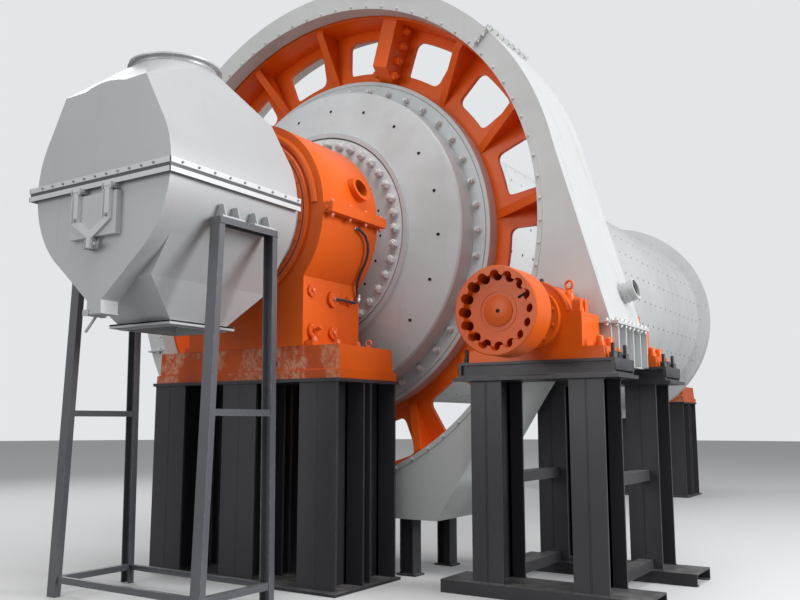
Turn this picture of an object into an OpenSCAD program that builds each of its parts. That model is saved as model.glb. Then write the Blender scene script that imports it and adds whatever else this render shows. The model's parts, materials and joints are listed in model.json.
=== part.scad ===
// Grate-free ball mill on its erection pedestals, with girth gear, pinion and discharge hood.
// Frame: floor at z = 0, mill axis along +Y, x = 0, discharge bearing centred on y = 0.

/* [Mill] */
// Height of the mill axis above the floor
axis_h = 3220; // [3150:10:3400]
// Outside diameter of the shell
shell_d = 3200; // [3100:10:3260]
// Thickness of the shell plate
shell_t = 45; // [30:1:60]
// Length of the shell over its two flanges
shell_len = 8480; // [7000:10:11000]
// Diameter of the shell and head flanges
flange_d = 3572; // [3560:2:3600]
// Width of the raised lip round the head flange
flange_lip = 40; // [30:1:50]
// Thickness of each shell flange
shell_flange_t = 84; // [60:1:110]
// Thickness of each head flange
head_flange_t = 70; // [50:1:90]
// Bolt circle of the head, shell and gear flanges
head_pcd = 3326; // [3310:2:3340]
// Distance from the bearing centre to the outer face of the head flange
head_face_y = 1001; // [960:1:1060]

/* [Heads and trunnions] */
// Depth of the head from its flange face to its cone edge
head_depth = 213; // [180:1:230]
// Diameter of the cone edge
head_edge_d = 3200; // [3150:10:3230]
// Rise of the head cone towards the trunnion seat
cone_rise = 147; // [100:1:170]
// Wall thickness of the head
head_t = 90; // [60:1:120]
// Outer diameter of the raised lip round the trunnion seat
lip_d = 2220; // [2180:10:2300]
// Width of that lip
lip_w = 46; // [30:1:60]
// Height of that lip above the cone
lip_h = 36; // [20:1:50]
// Diameter of the trunnion flange
tr_flange_d = 2100; // [2060:10:2120]
// Thickness of the trunnion flange
tr_flange_t = 70; // [50:1:90]
// Bolt circle of the trunnion flange
tr_pcd = 1954; // [1940:2:1970]
// Diameter of the bolt holes in the trunnion flange
tr_hole_d = 42; // [30:1:50]
// Diameter of the trunnion journal
journal_d = 1280; // [1200:10:1320]
// Bore through the discharge trunnion
trunnion_bore = 1000; // [960:10:1060]
// Bore through the feed trunnion
feed_bore = 940; // [800:10:950]
// Length of the trunnion beyond the bearing centre
trunnion_out = 700; // [660:5:760]
// Radius of the fillet between the neck and the flange
neck_r = 120; // [80:5:140]

/* [Girth gear] */
// Tooth module
gear_m = 25; // [24.5:0.5:25.5]
// Teeth on the girth gear, an even number
gear_z = 200; // [198:2:202]
// Teeth on the pinion
pinion_z = 20; // [19:1:21]
// Pressure angle
press_a = 20; // [18:1:22]
// Backlash along the pitch circle
backlash = 3; // [2:0.5:5]
// Face width of the girth gear
gear_w = 500; // [440:10:520]
// Distance from the bearing centre to the middle of the gear face
gear_y = 1090; // [1070:5:1100]
// Thickness of the rim under the teeth
rim_t = 60; // [50:5:75]
// Thickness of the web
web_t = 50; // [40:1:60]
// Number of windows and ribs round the gear
window_n = 16; // [12:2:18]
// Inner radius of the windows
window_ri = 1925; // [1880:5:1960]
// Outer radius of the windows
window_ro = 2310; // [2240:5:2330]
// Share of each bay that the window takes
window_share = 0.58; // [0.45:0.01:0.62]
// Corner radius of the windows
window_r = 70; // [40:1:90]
// Thickness of a rib
rib_t = 38; // [25:1:50]
// Width of the cap along a rib
rib_cap_w = 84; // [70:2:110]
// Thickness of that cap
rib_cap_t = 26; // [16:1:36]
// Thickness of each joint flange at the gear split
joint_t = 88; // [60:1:110]
// Diameter of the joint bolt holes
joint_hole_d = 52; // [36:1:60]
// Tooth gaps from the pinion up to the gear split
split_gaps = 52; // [48:1:56]

/* [Pinion drive] */
// Sideways distance from the mill axis to the pinion axis
pinion_x = 2554; // [2530:2:2590]
// Diameter of the pinion shaft in its bearings
pinion_journal = 220; // [180:5:260]
// Diameter of the shaft beside the pinion
pinion_shoulder = 270; // [250:5:300]
// Distance from the gear middle to each pinion bearing
pinion_span = 672; // [660:2:700]
// Length of each pinion bearing
pb_len = 390; // [340:10:400]
// Radius of the round body of a pinion bearing
pb_r = 300; // [260:5:310]
// Half width of a pinion bearing over its lugs
pb_half = 410; // [380:5:430]
// Height of the lugs of a pinion bearing cap above its joint
pb_ear = 40; // [30:1:60]
// Height of the bolt prongs on those lugs
prong_h = 112; // [80:2:130]
// Half length of the foot of a pinion bearing
pb_foot = 590; // [560:5:600]
// Height of that foot
pb_foot_h = 98; // [70:2:120]
// Outer diameter of the drive coupling
coupling_d = 676; // [640:4:720]
// Length of the coupling
coupling_len = 268; // [240:4:300]
// Distance from the bearing centre of the mill back to the coupling face
coupling_y = -458; // [-480:2:-440]
// Depth of the recess in the coupling face
coupling_recess = 60; // [40:2:80]
// Number of pin holes in the coupling
pin_n = 16; // [12:1:18]
// Circle of the pin holes
pin_pcd = 532; // [510:2:550]
// Diameter of a pin hole
pin_d = 76; // [60:1:80]

/* [Mill bearings] */
// Length of a main bearing housing along the axis
mb_len = 820; // [760:10:860]
// Outer radius of the round housing
mb_r = 900; // [880:5:930]
// Half width of the bearing block
mb_block = 690; // [640:5:720]
// Half width over the split flange
mb_flange = 1000; // [970:5:1020]
// Thickness of each split flange
mb_flange_t = 46; // [36:1:60]
// Wall of the housing
mb_wall = 60; // [45:1:75]
// Radial clearance of the journal in its bush
journal_gap = 0.3; // [0.2:0.1:0.6]
// Radial clearance of the journal in the end walls
wall_gap = 14; // [8:1:24]
// Outer diameter of the end seal ring
seal_d = 1500; // [1440:10:1560]
// Thickness of the end seal ring
seal_t = 30; // [20:1:50]
// Diameter of the oil port on the cap
port_d = 200; // [160:5:220]

/* [Sole and pedestals] */
// Height of the pedestals under the soles
ped_h = 1745; // [1600:5:1800]
// Length of a sole box
sole_l = 2180; // [2100:10:2240]
// Depth of a sole box along the axis
sole_w = 800; // [740:10:840]
// Height of a sole box
sole_h = 285; // [240:5:320]
// Thickness of the foot strip round the sole
sole_foot = 72; // [50:2:90]
// Width of the pedestal beams
beam_w = 400; // [360:10:420]
// Flange thickness of the pedestal beams
beam_tf = 21; // [14:1:26]
// Web thickness of the pedestal beams
beam_tw = 13; // [9:1:20]
// Spacing of the three beams across a pedestal
beam_step = 890; // [820:10:920]
// Gap between the two rows of beams
beam_gap = 80; // [50:5:120]
// Thickness of the pedestal base plates
base_t = 25; // [20:1:35]
// Thickness of the pedestal top plates
top_t = 28; // [20:1:35]

/* [Pinion frame] */
// Height of the pinion frame
frame_h = 1745; // [1600:5:1800]
// Flange width of its columns
col_w = 280; // [240:10:300]
// Depth of its columns
col_d = 410; // [360:10:420]
// Half spacing of the two columns across
col_half = 430; // [400:5:450]
// Height of the sole beams under the pinion bearings, with their seat plate
psole_h = 150; // [130:2:170]
// Thickness of that seat plate
psole_plate = 28; // [20:1:35]
// Half length of a sole beam
psole_l = 670; // [620:5:700]
// Half width of a sole beam
psole_w = 225; // [205:1:225]
// Height of the bottom rails
rail_h = 104; // [90:2:130]
// Thickness of a rail wall
rail_t = 12; // [8:1:16]

/* [Gear guard] */
// Thickness of the guard sheet
guard_t = 8; // [6:1:12]
// Outer radius of the guard
guard_r = 2650; // [2600:5:2700]
// Inner radius of the guard
guard_ri = 2429; // [2410:1:2440]
// Clearance from the gear rim to the inner curbs
curb_gap = 15; // [8:1:30]
// Clearance from the rim to the guard side plates
guard_side = 189; // [150:1:200]
// Reach of the pinion box from the mill axis
guard_reach = 3050; // [3010:5:3080]
// Height of the horizontal guard joint above the floor
guard_joint_h = 2190; // [2120:5:2200]
// Height of the guard bottom above the floor
guard_bottom_h = 502; // [440:2:540]
// Half width of the flat bottom of the guard
guard_bottom_w = 1390; // [1300:10:1420]
// Angle of the upper guard joint above the horizontal
guard_joint_a = 42; // [35:1:50]
// Diameter of the breather nozzle
nozzle_d = 172; // [150:2:190]
// Drop of the pinion box below the guard joint
box_drop = 345; // [335:1:355]

/* [Discharge hood] */
// Radius of the round hood body
hood_r = 780; // [760:5:800]
// Length of the hood along the axis
hood_len = 1400; // [1300:10:1440]
// Distance from the bearing centre back to the rear plate of the hood
hood_back = -620; // [-640:5:-600]
// Thickness of the hood sheet
hood_t = 10; // [6:1:14]
// Half width of the flat hood top
hood_top_w = 475; // [420:5:500]
// Height of the flat top above the axis
hood_top_h = 745; // [700:5:780]
// Height of the vent flange above the axis
vent_h = 1122; // [1050:2:1180]
// Outer diameter of the vent flange
vent_d = 780; // [720:5:800]
// Bore of the vent
vent_bore = 680; // [600:5:690]
// Length of the narrow chute at the front
chute_len = 154; // [140:2:180]
// Half width of the small spout
spout_w = 82; // [60:2:100]
// Depth of the chute bottom below the axis
chute_h = 935; // [900:5:960]
// Height of the small spout box
spout_h = 97; // [60:1:120]
// Depth of the outlet flange below the axis
outlet_h = 1060; // [1020:5:1080]
// Half width of the outlet
outlet_w = 305; // [260:5:340]
// Length of the outlet along the axis
outlet_len = 600; // [520:5:660]
// Width of the outlet flange
outlet_flange_w = 50; // [40:1:60]
// Half width of the hood at its waist
waist_w = 440; // [380:5:480]
// Depth of the waist below the axis
waist_h = 758; // [740:2:790]
// Width of the joint flange round the hood
hood_flange_w = 42; // [34:1:50]
// Half width of the access door
door_w = 268; // [240:4:300]
// Height of the access door
door_h = 330; // [280:5:350]
// Depth of the access door
door_t = 50; // [30:1:60]
// Half spacing of the two hinge straps
strap_x = 181; // [150:1:200]
// Width of a hinge strap
strap_w = 78; // [50:1:90]

/* [Hood stand] */
// Height of the hood stand
stand_h = 2912; // [2880:2:2930]
// Distance from the mill axis to each side frame
stand_x = 803; // [790:1:830]
// Width of the channel of the stand
stand_c = 100; // [80:5:110]
// Length of the top of each side frame
stand_top = 648; // [620:2:700]
// Forward lean of the front leg
stand_lean = 90; // [40:5:140]

/* [Hidden] */
$fn = 256;

// Mill axis
shell_r = shell_d / 2;
shell_y0 = head_face_y + head_flange_t;
shell_y1 = shell_y0 + shell_len;
mid_y = (shell_y0 + shell_y1) / 2;
feed_y = 2 * mid_y;
head_seat_y = head_face_y - head_depth - cone_rise;
tr_face_y = head_seat_y + 40 - tr_flange_t;

// Gear pair
gear_r = gear_m * gear_z / 2;
pinion_r = gear_m * pinion_z / 2;
centre_d = gear_r + pinion_r;
pinion_h = axis_h - sqrt(centre_d * centre_d - pinion_x * pinion_x);
pinion_a = atan2(pinion_h - axis_h, pinion_x);
split_a = pinion_a + split_gaps * 360 / gear_z;
gear_tip = gear_r + gear_m;
gear_root = gear_r - 1.25 * gear_m;
rim_ri = gear_root - rim_t;
gear_y0 = gear_y - gear_w / 2;
gear_y1 = gear_y + gear_w / 2;
web_y0 = shell_y0 + shell_flange_t;
web_y1 = web_y0 + web_t;
hub_ri = shell_r + 22;
flange_r = flange_d / 2;
lip_ri = flange_r - flange_lip;
head_fr = lip_ri - 4;
lip_reach = head_flange_t - 6;
bolt_step = 360 / 42;

// Bearings, soles and pedestals
sole_top = ped_h + sole_h;
journal_r = journal_d / 2;
ped_l = 2 * beam_step + beam_w;
ped_w = 2 * beam_w + beam_gap;
pinion_ys = [gear_y - pinion_span, gear_y + pinion_span];
psole_top = frame_h + psole_h - psole_plate;
coupling_r = coupling_d / 2;

// Guard
guard_y0 = gear_y0 - guard_side;
guard_y1 = gear_y1 + guard_side - 49;
joint_z = guard_joint_h - axis_h;
joint_x = sqrt(guard_r * guard_r - joint_z * joint_z);
bottom_z = guard_bottom_h - axis_h;

// Hood
hood_y1 = hood_back;
hood_y0 = hood_back - hood_len;
chute_y1 = hood_y0 + chute_len;
outlet_y = (chute_y1 + hood_y1) / 2;
outlet_y0 = outlet_y - outlet_len / 2;
outlet_y1 = outlet_y + outlet_len / 2;
vent_y = (hood_y0 + hood_y1) / 2;
spout_z = axis_h - chute_h - spout_h;
outlet_z = axis_h - outlet_h;
door_z1 = axis_h - 130;
door_z0 = door_z1 - door_h;
door_pin_y = hood_y0 - door_t - 10;
door_pin_z = axis_h - 88;
door_pin_r = 9;
stand_y1 = hood_back - 323;
stand_y0 = stand_y1 - stand_top;

// Extrudes a drawing in x and height from y0 over len, with its zero on the mill axis
module along_y(y0, len)
  translate([0, y0 + len, axis_h])
    rotate([90, 0, 0])
      linear_extrude(len) children();

// Revolves a drawing of radius and y about the mill axis
module about_axis()
  translate([0, 0, axis_h])
    rotate([-90, 0, 0])
      rotate_extrude() children();

// Revolves a drawing of radius and y about the pinion axis
module about_pinion()
  translate([pinion_x, 0, pinion_h])
    rotate([-90, 0, 0])
      rotate_extrude() children();

// Mirrors a discharge-end piece to the feed end
module at_feed_end()
  translate([0, feed_y, 0])
    mirror([0, 1, 0]) children();

// Box given by its low and high corners
module span(a, b)
  translate(a)
    cube([b[0] - a[0], b[1] - a[1], b[2] - a[2]]);

// Upright H-beam with flanges facing y, standing at the origin
module h_beam(w, d, tf, tw, len)
  linear_extrude(len) {
    for (s = [-1, 1])
      translate([0, s * (d - tf) / 2]) square([w, tf], center = true);
    square([tw, d - tf], center = true);
  }

// Main pedestals
module pedestal_plates() {
  color("dimgray") {
    span([-ped_l / 2 - 30, -ped_w / 2 - 40, 0], [ped_l / 2 + 30, ped_w / 2 + 40, base_t]);
    span([-ped_l / 2 - 20, -ped_w / 2 - 20, ped_h - top_t], [ped_l / 2 + 20, ped_w / 2 + 20, ped_h]);
  }
}

module pedestal_columns() {
  color("#3a3a40")
    for (i = [-1:1], s = [-1, 1])
      translate([i * beam_step, s * (beam_w + beam_gap) / 2, base_t])
        h_beam(beam_w, beam_w, beam_tf, beam_tw, ped_h - base_t - top_t);
}

// Cast sole box: drafted ends, a foot strip and two lifting holes in each long face
module sole() {
  draft = 20;
  color("#e0641e")
    difference() {
      union() {
        translate([0, sole_w / 2, ped_h])
          rotate([90, 0, 0])
            linear_extrude(sole_w)
              polygon([[-sole_l / 2, 0], [sole_l / 2, 0], [sole_l / 2 - draft, sole_h],
                       [-sole_l / 2 + draft, sole_h]]);
        span([-sole_l / 2 - 18, -sole_w / 2 - 18, ped_h],
             [sole_l / 2 + 18, sole_w / 2 + 18, ped_h + sole_foot]);
      }
      for (x = [-375, 375], s = [-1, 1])
        translate([x, s * (sole_w / 2 - 60), ped_h + sole_h / 2 - 5])
          rotate([90, 0, 0])
            cylinder(d = 66, h = 200, center = true, $fn = 48);
    }
}

// Outline of the main bearing in x and height from the axis
module bearing_outline(lower)
  if (lower) {
    intersection() {
      circle(r = mb_r);
      translate([-mb_r - 1, -mb_r - 1]) square([2 * mb_r + 2, mb_r + 1]);
    }
    translate([-mb_block, sole_top - axis_h]) square([2 * mb_block, axis_h - sole_top]);
    translate([-mb_flange, -mb_flange_t]) square([2 * mb_flange, mb_flange_t]);
  } else {
    intersection() {
      circle(r = mb_r);
      translate([-mb_r - 1, 0]) square([2 * mb_r + 2, mb_r + 1]);
    }
    translate([-mb_flange, 0]) square([2 * mb_flange, mb_flange_t]);
  }

// Ring space inside a main bearing, round the bush
module bearing_cavity() {
  along_y(-mb_len / 2 + mb_wall, mb_len - 2 * mb_wall) circle(r = mb_r - mb_wall);
  along_y(-mb_len / 2 - 1, mb_len + 2) circle(r = journal_r + wall_gap);
}

// Saddle that carries the bush: it holds the journal over its lower third
module bearing_saddle() {
  half_w = (mb_r - mb_wall) * sin(62);
  intersection() {
    along_y(-270, 540)
      difference() {
        circle(r = mb_r - mb_wall + 2);
        circle(r = journal_r + journal_gap);
      }
    along_y(-270, 540)
      polygon([[0, 0], [half_w * 1.2, -half_w * 0.62], [half_w * 1.2, -mb_r], [-half_w * 1.2, -mb_r],
               [-half_w * 1.2, -half_w * 0.62]]);
  }
}

// Bosses on the block sides: place along the axis, height from the axis, diameter, reach
block_bosses = [[-300, -695, 112, 18], [-4, -741, 150, 30], [251, -729, 104, 18],
                [-275, -1046, 150, 26], [3, -1045, 118, 22]];

module bearing_base() {
  foot_h = 46;
  color("#e0641e") {
    difference() {
      union() {
        along_y(-mb_len / 2, mb_len) bearing_outline(true);
        for (s = [-1, 1])
          span([min(s * mb_block, s * (mb_block + 90)), -mb_len / 2 + 30, sole_top],
               [max(s * mb_block, s * (mb_block + 90)), mb_len / 2 - 30, sole_top + foot_h]);
        for (b = block_bosses, s = [-1, 1])
          translate([s * (mb_block - 5), b[0], axis_h + b[1]])
            rotate([0, s * 90, 0])
              cylinder(d = b[2], h = 5 + b[3], $fn = 64);
      }
      bearing_cavity();
    }
    bearing_saddle();
  }
}

module bearing_cap() {
  port_a = 18;
  color("#e0641e")
    difference() {
      union() {
        along_y(-mb_len / 2, mb_len) bearing_outline(false);
        cap_rib();
        translate([0, 135, axis_h])
          rotate([0, 90 - port_a, 0])
            cylinder(d = port_d + 40, h = mb_r + 58, $fn = 96);
      }
      bearing_cavity();
      translate([0, 135, axis_h])
        rotate([0, 90 - port_a, 0])
          cylinder(d = port_d - 30, h = mb_r + 70, $fn = 96);
    }
}

// Bolted ring that closes the outer end of a main bearing
module seal_ring() {
  y = -mb_len / 2;
  color("#c9551a")
    about_axis()
      polygon([[journal_r + wall_gap - 5, y - seal_t], [seal_d / 2 - 8, y - seal_t],
               [seal_d / 2, y - seal_t + 8], [seal_d / 2, y], [journal_r + wall_gap - 5, y]]);
}

// Raised rib over the end wall of the cap, outside the seal ring
module cap_rib() {
  y = -mb_len / 2;
  r0 = seal_d / 2 + 22;
  intersection() {
    about_axis()
      polygon([[r0, y + 1], [r0 + 8, y - 20], [r0 + 36, y - 26], [r0 + 56, y - 16], [r0 + 62, y + 1]]);
    along_y(y - 40, 60)
      translate([-mb_r, mb_flange_t + 14]) square([2 * mb_r, mb_r]);
  }
}

// Oil hose from the cap joint down to the block, on the pinion side
hose_path = [
  [895.4, 64, 3118], [914, 64, 3115.9], [927, 82, 3112], [928, 130, 3096], [924, 190, 3062],
  [916, 235, 3010], [905, 258, 2950], [884, 272, 2890], [852, 280, 2830], [818, 284, 2780],
  [786, 290, 2730], [755, 302, 2680], [735, 320, 2625], [726, 338, 2575], [724, 346, 2530],
  [726, 338, 2495], [730, 305, 2480], [738, 230, 2478], [744, 130, 2478], [746, 50, 2478],
  [744, 14, 2478], [736, -4, 2478], [721, -4, 2478]
];
hose_d = 26;

function unit(v) = v / norm(v);
function hose_dir(p, i) = unit(p[min(i + 1, len(p) - 1)] - p[max(i - 1, 0)]);
function hose_ring(p, i, r, n) =
  let (d = hose_dir(p, i), a = unit(cross(d, [0, 1, 0.2])), b = cross(d, a))
  [for (k = [0:n - 1]) p[i] + r * (cos(360 * k / n) * a + sin(360 * k / n) * b)];

module tube(p, d, n = 10) {
  m = len(p);
  pts = [for (i = [0:m - 1], q = hose_ring(p, i, d / 2, n)) q];
  sides = [for (i = [0:m - 2], k = [0:n - 1])
    [i * n + k, i * n + (k + 1) % n, (i + 1) * n + (k + 1) % n, (i + 1) * n + k]];
  start = [[for (k = [0:n - 1]) n - 1 - k]];
  end = [[for (k = [0:n - 1]) (m - 1) * n + k]];
  polyhedron(points = pts, faces = concat(sides, start, end), convexity = 6);
}

module lube_hose() {
  color("#33343a") tube(hose_path, hose_d);
}

// Hood sections, drawn round the mill axis; g is the inset from the outer skin
function tangent_a(p, r) = atan2(p[1], p[0]) + acos(r / norm(p));
function polar(a, r) = [r * cos(a), r * sin(a)];
function touch(a, r) = polar(a, r * 0.998);
function mirrored(p) = concat(p, [for (i = [len(p) - 1:-1:0]) [-p[i][0], p[i][1]]]);

module top_2d(g) {
  r = hood_r - g;
  p = [hood_top_w - g / 2, hood_top_h - g];
  q = touch(atan2(p[1], p[0]) - acos(r / norm(p)), r);
  circle(r = r);
  polygon(mirrored([[0, 0], q, p]));
}

module chute_2d(g) {
  r = hood_r - g;
  p = [spout_w - 1.55 * g, -chute_h];
  q = touch(tangent_a(p, r), r);
  circle(r = r);
  polygon(mirrored([[0, 0], q, p]));
}

module hopper_2d(g) {
  r = hood_r - g;
  w = [waist_w - g, -waist_h];
  q = touch(tangent_a(w, r), r);
  circle(r = r);
  polygon(mirrored([[0, 0], q, w, [outlet_w - g, -outlet_h - g / 10]]));
}

// Side view of the space in front of a sloping hopper wall, from ya at the waist to yb at the outlet
module wall_cut(ya, yb, far, g) {
  low = -outlet_h - 20;
  translate([-hood_r, 0, axis_h])
    rotate([90, 0, 90])
      linear_extrude(2 * hood_r)
        polygon([[far, -waist_h], [ya, -waist_h], [yb, -outlet_h - g / 10], [yb, low], [far, low]]);
}

module hopper(g) {
  difference() {
    along_y(chute_y1 + g, hood_y1 - chute_y1 - 2 * g) hopper_2d(g);
    wall_cut(chute_y1 + g, outlet_y0 + g, chute_y1 - 20, g);
    wall_cut(hood_y1 - g, outlet_y1 - g, hood_y1 + 20, g);
  }
}

// Square-to-round top piece
module transition(g) {
  n = 32;
  w = hood_top_w - g / 2;
  z0 = hood_top_h - (g > 0 ? 2 * g : 0);
  z1 = vent_h - 44 + (g > 0 ? 1 : 0);
  r = vent_bore / 2 + hood_t - g;
  y0 = hood_y0 + g;
  y1 = hood_y1 - g;
  quad = n / 4;
  ring = [for (i = [0:n - 1]) [r * cos(360 * i / n), vent_y + r * sin(360 * i / n), z1]];
  base = [[w, y1, z0], [-w, y1, z0], [-w, y0, z0], [w, y0, z0]];
  translate([0, 0, axis_h])
    polyhedron(
      points = concat(ring, base),
      faces = concat(
        [[for (i = [n - 1:-1:0]) i]],
        [[n, n + 1, n + 2, n + 3]],
        [for (c = [0:3], i = [0:quad - 1]) [n + c, c * quad + i, (c * quad + i + 1) % n]],
        [for (c = [0:3]) [n + c, ((c + 1) * quad) % n, n + (c + 1) % 4]]),
      convexity = 4);
}

// Angle bars round the joint: up is 1 on the upper half and -1 on the lower
module hood_joint(up) {
  w = hood_flange_w;
  za = up > 0 ? axis_h : axis_h - 8;
  zb = up > 0 ? axis_h : axis_h - w;
  for (s = [-1, 1]) {
    xa = s > 0 ? hood_r - 4 : -hood_r - w;
    span([xa, hood_y0 - w, za], [xa + w + 4, hood_y1, za + 8]);
    xb = s > 0 ? hood_r - 4 : -hood_r - 6;
    span([xb, hood_y0 - 6, zb], [xb + 10, hood_y1, zb + w]);
  }
  span([-hood_r - w, hood_y0 - w, za], [hood_r + w, hood_y0 + 4, za + 8]);
  span([-hood_r - 6, hood_y0 - 6, zb], [hood_r + 6, hood_y0 + 4, zb + w]);
}

module trunnion_way()
  along_y(hood_y1 - 60, 120) circle(r = journal_r + 20);

module hood_upper() {
  color("#b9bcbd")
    difference() {
      union() {
        along_y(hood_y0, hood_len)
          intersection() {
            top_2d(0);
            translate([-hood_r, 0]) square(2 * hood_r);
          }
        transition(0);
        hood_joint(1);
      }
      along_y(hood_y0 + hood_t, hood_len - 2 * hood_t) top_2d(hood_t);
      transition(hood_t);
      trunnion_way();
    }
}

module hood_lower() {
  color("#b4b7b9")
    difference() {
      union() {
        difference() {
          union() {
            along_y(hood_y0, chute_len) chute_2d(0);
            hopper(0);
          }
          translate([-hood_r - 1, hood_y0 - 1, axis_h])
            cube([2 * hood_r + 2, hood_len + 2, hood_r + 1]);
        }
        hood_joint(-1);
        span([-spout_w, hood_y0, spout_z], [spout_w, chute_y1, spout_z + spout_h]);
        door_lugs();
        flap_lugs();
      }
      along_y(hood_y0 + hood_t, chute_len - 2 * hood_t) chute_2d(hood_t);
      along_y(hood_y0 + hood_t, chute_len + hood_t) circle(r = hood_r - hood_t);
      hopper(hood_t);
      span([-spout_w + hood_t, hood_y0 + hood_t, spout_z - 1],
           [spout_w - hood_t, chute_y1 - hood_t, spout_z + spout_h + 4]);
      span([-door_w + 60, hood_y0 - 1, door_z0 + 50], [door_w - 60, hood_y0 + hood_t + 1, door_z1 - 50]);
      trunnion_way();
    }
}

// Lugs that carry the two hinge pins of the access door
module door_lugs()
  for (s = [-1, 1], k = [-1, 1])
    translate([s * strap_x + k * (strap_w / 2 + 11) - 5, 0, 0])
      difference() {
        span([0, door_pin_y - 20, door_pin_z - 22], [10, hood_y0 + 1, door_pin_z + 18]);
        translate([-1, door_pin_y, door_pin_z])
          rotate([0, 90, 0]) cylinder(r = door_pin_r + 0.3, h = 12, $fn = 48);
      }

// Lugs that carry the pin of the spout flap
flap_x = -spout_w - 24;
flap_z = spout_z - 4;
module flap_lugs()
  for (y = [hood_y0 - 8, chute_y1])
    difference() {
      span([flap_x - 14, y, flap_z - 12], [-spout_w + 30, y + 8, flap_z + 34]);
      translate([flap_x, y - 1, flap_z])
        rotate([-90, 0, 0]) cylinder(r = 6.3, h = 10, $fn = 48);
    }

module hood_vent_flange() {
  z1 = axis_h + vent_h;
  color("#c3c6c7")
    translate([0, vent_y, 0])
      difference() {
        union() {
          translate([0, 0, z1 - 14]) cylinder(d = vent_d, h = 14);
          translate([0, 0, z1 - 44]) cylinder(d = vent_bore + 2 * hood_t, h = 40);
        }
        translate([0, 0, z1 - 60]) cylinder(d = vent_bore, h = 80);
        for (i = [0:11])
          rotate([0, 0, i * 30 + 15])
            translate([(vent_d + vent_bore + 2 * hood_t) / 4, 0, z1 - 20])
              cylinder(d = 18, h = 30, $fn = 32);
      }
}

module hood_outlet_flange() {
  w = outlet_flange_w;
  t = 12;
  color("#c3c6c7")
    difference() {
      union() {
        span([-outlet_w - w, outlet_y0 - w, outlet_z - t], [outlet_w + w, outlet_y1 + w, outlet_z]);
        span([-outlet_w, outlet_y0, outlet_z - t - 30], [outlet_w, outlet_y1, outlet_z]);
      }
      span([-outlet_w + hood_t, outlet_y0 + hood_t, outlet_z - 60],
           [outlet_w - hood_t, outlet_y1 - hood_t, outlet_z + 20]);
      for (x = [-1, 1], y = [outlet_y0 - w / 2, outlet_y1 + w / 2])
        translate([x * (outlet_w + w / 2), y, outlet_z - 20]) cylinder(d = 18, h = 40, $fn = 32);
    }
}

// Foot plates and gussets that carry the hood on the side frames
module hood_brackets() {
  g_t = 10;
  color("#c3c6c7")
    for (s = [-1, 1])
      difference() {
        union() {
          for (y = [stand_y0 + 30, stand_y1 - 270])
            translate([s * (stand_x - 20), y, stand_h]) span([-70, 0, 0], [70, 240, 12]);
          for (y = [stand_y0 + 80, stand_y0 + 230, stand_y1 - 220, stand_y1 - 70])
            translate([0, y, stand_h])
              rotate([90, 0, 0])
                linear_extrude(g_t)
                  polygon([[s * (stand_x - 160), 10], [s * (stand_x + 40), 10],
                           [s * (stand_x + 10), 110], [s * (stand_x - 160), 110]]);
        }
        along_y(hood_y0 - 1, hood_len + 2) circle(r = hood_r);
      }
}

// Access door: shallow box that seats on the front of the hood
module hood_door() {
  back = hood_y0 - 0.3;
  color("#b9bcbd")
    difference() {
      span([-door_w, hood_y0 - door_t, door_z0], [door_w, back, door_z1]);
      span([-door_w + 8, hood_y0 - door_t + 8, door_z0 + 8], [door_w - 8, back + 1, door_z1 - 8]);
    }
}

// Straps, forked yoke and clamp block in one weldment, turning on the hinge pins
block_w = 26;
module door_yoke() {
  t = 20;
  y0 = door_pin_y - t / 2;
  bend_z = door_z0 + 112;
  block_z = door_z0 - 92;
  hw = strap_w / 2;
  color("#c9cccd") {
    translate([0, y0 + t, 0])
      rotate([90, 0, 0])
        linear_extrude(t)
          polygon([[-strap_x - hw, door_pin_z], [-strap_x - hw, bend_z], [-block_w, door_z0 - 10],
                   [-block_w, block_z], [block_w, block_z], [block_w, door_z0 - 10],
                   [strap_x + hw, bend_z],
                   [strap_x + hw, door_pin_z], [strap_x - hw, door_pin_z], [strap_x - hw, bend_z + 16],
                   [20, door_z0 + 52], [-20, door_z0 + 52], [-strap_x + hw, bend_z + 16],
                   [-strap_x + hw, door_pin_z]]);
    span([-block_w + 2, y0 - 12, block_z + 4], [block_w - 2, y0 + t + 26, door_z0 - 14]);
    for (s = [-1, 1])
      translate([s * strap_x, door_pin_y, door_pin_z])
        rotate([0, 90, 0]) {
          cylinder(r = 16, h = strap_w, center = true, $fn = 48);
          cylinder(r = door_pin_r, h = strap_w + 50, center = true, $fn = 48);
        }
  }
}

// Pair of clamp lugs with screw bosses on both sides of the clamp block
module door_latch() {
  z0 = door_z0 - 96;
  color("#9a9da0")
    for (s = [-1, 1]) {
      x = s * (block_w + 12);
      span([x - 5, hood_y0 - 84, z0], [x + 5, hood_y0, z0 + 70]);
      translate([s > 0 ? x + 4 : x - 29, hood_y0 - 56, z0 + 36])
        rotate([0, 90, 0]) cylinder(r = 16, h = 25, $fn = 6);
    }
}

// Flap under the small spout, turning on its pin, with a bent lever
module spout_flap() {
  y0 = hood_y0 + 1;
  y1 = chute_y1 - 1;
  mid = (y0 + y1) / 2;
  color("#aeb1b3") {
    span([flap_x, y0, spout_z - 7], [spout_w + 10, y1, spout_z - 0.3]);
    translate([flap_x, y0, flap_z])
      rotate([-90, 0, 0]) cylinder(r = 10, h = y1 - y0, $fn = 48);
    translate([flap_x, y0 - 12, flap_z])
      rotate([-90, 0, 0]) cylinder(r = 6, h = y1 - y0 + 24, $fn = 48);
    translate([0, mid + 8, 0])
      rotate([90, 0, 0])
        linear_extrude(16)
          polygon([[40, spout_z - 6], [-70, spout_z - 6], [flap_x - 84, spout_z - 122],
                   [flap_x - 72, spout_z - 132], [-62, spout_z - 18], [40, spout_z - 18]]);
  }
}

// Plate in y and height of thickness t, with its low x face at x
module side_plate(x, t, p)
  translate([x, 0, 0])
    rotate([90, 0, 90])
      linear_extrude(t) polygon(p);

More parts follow.
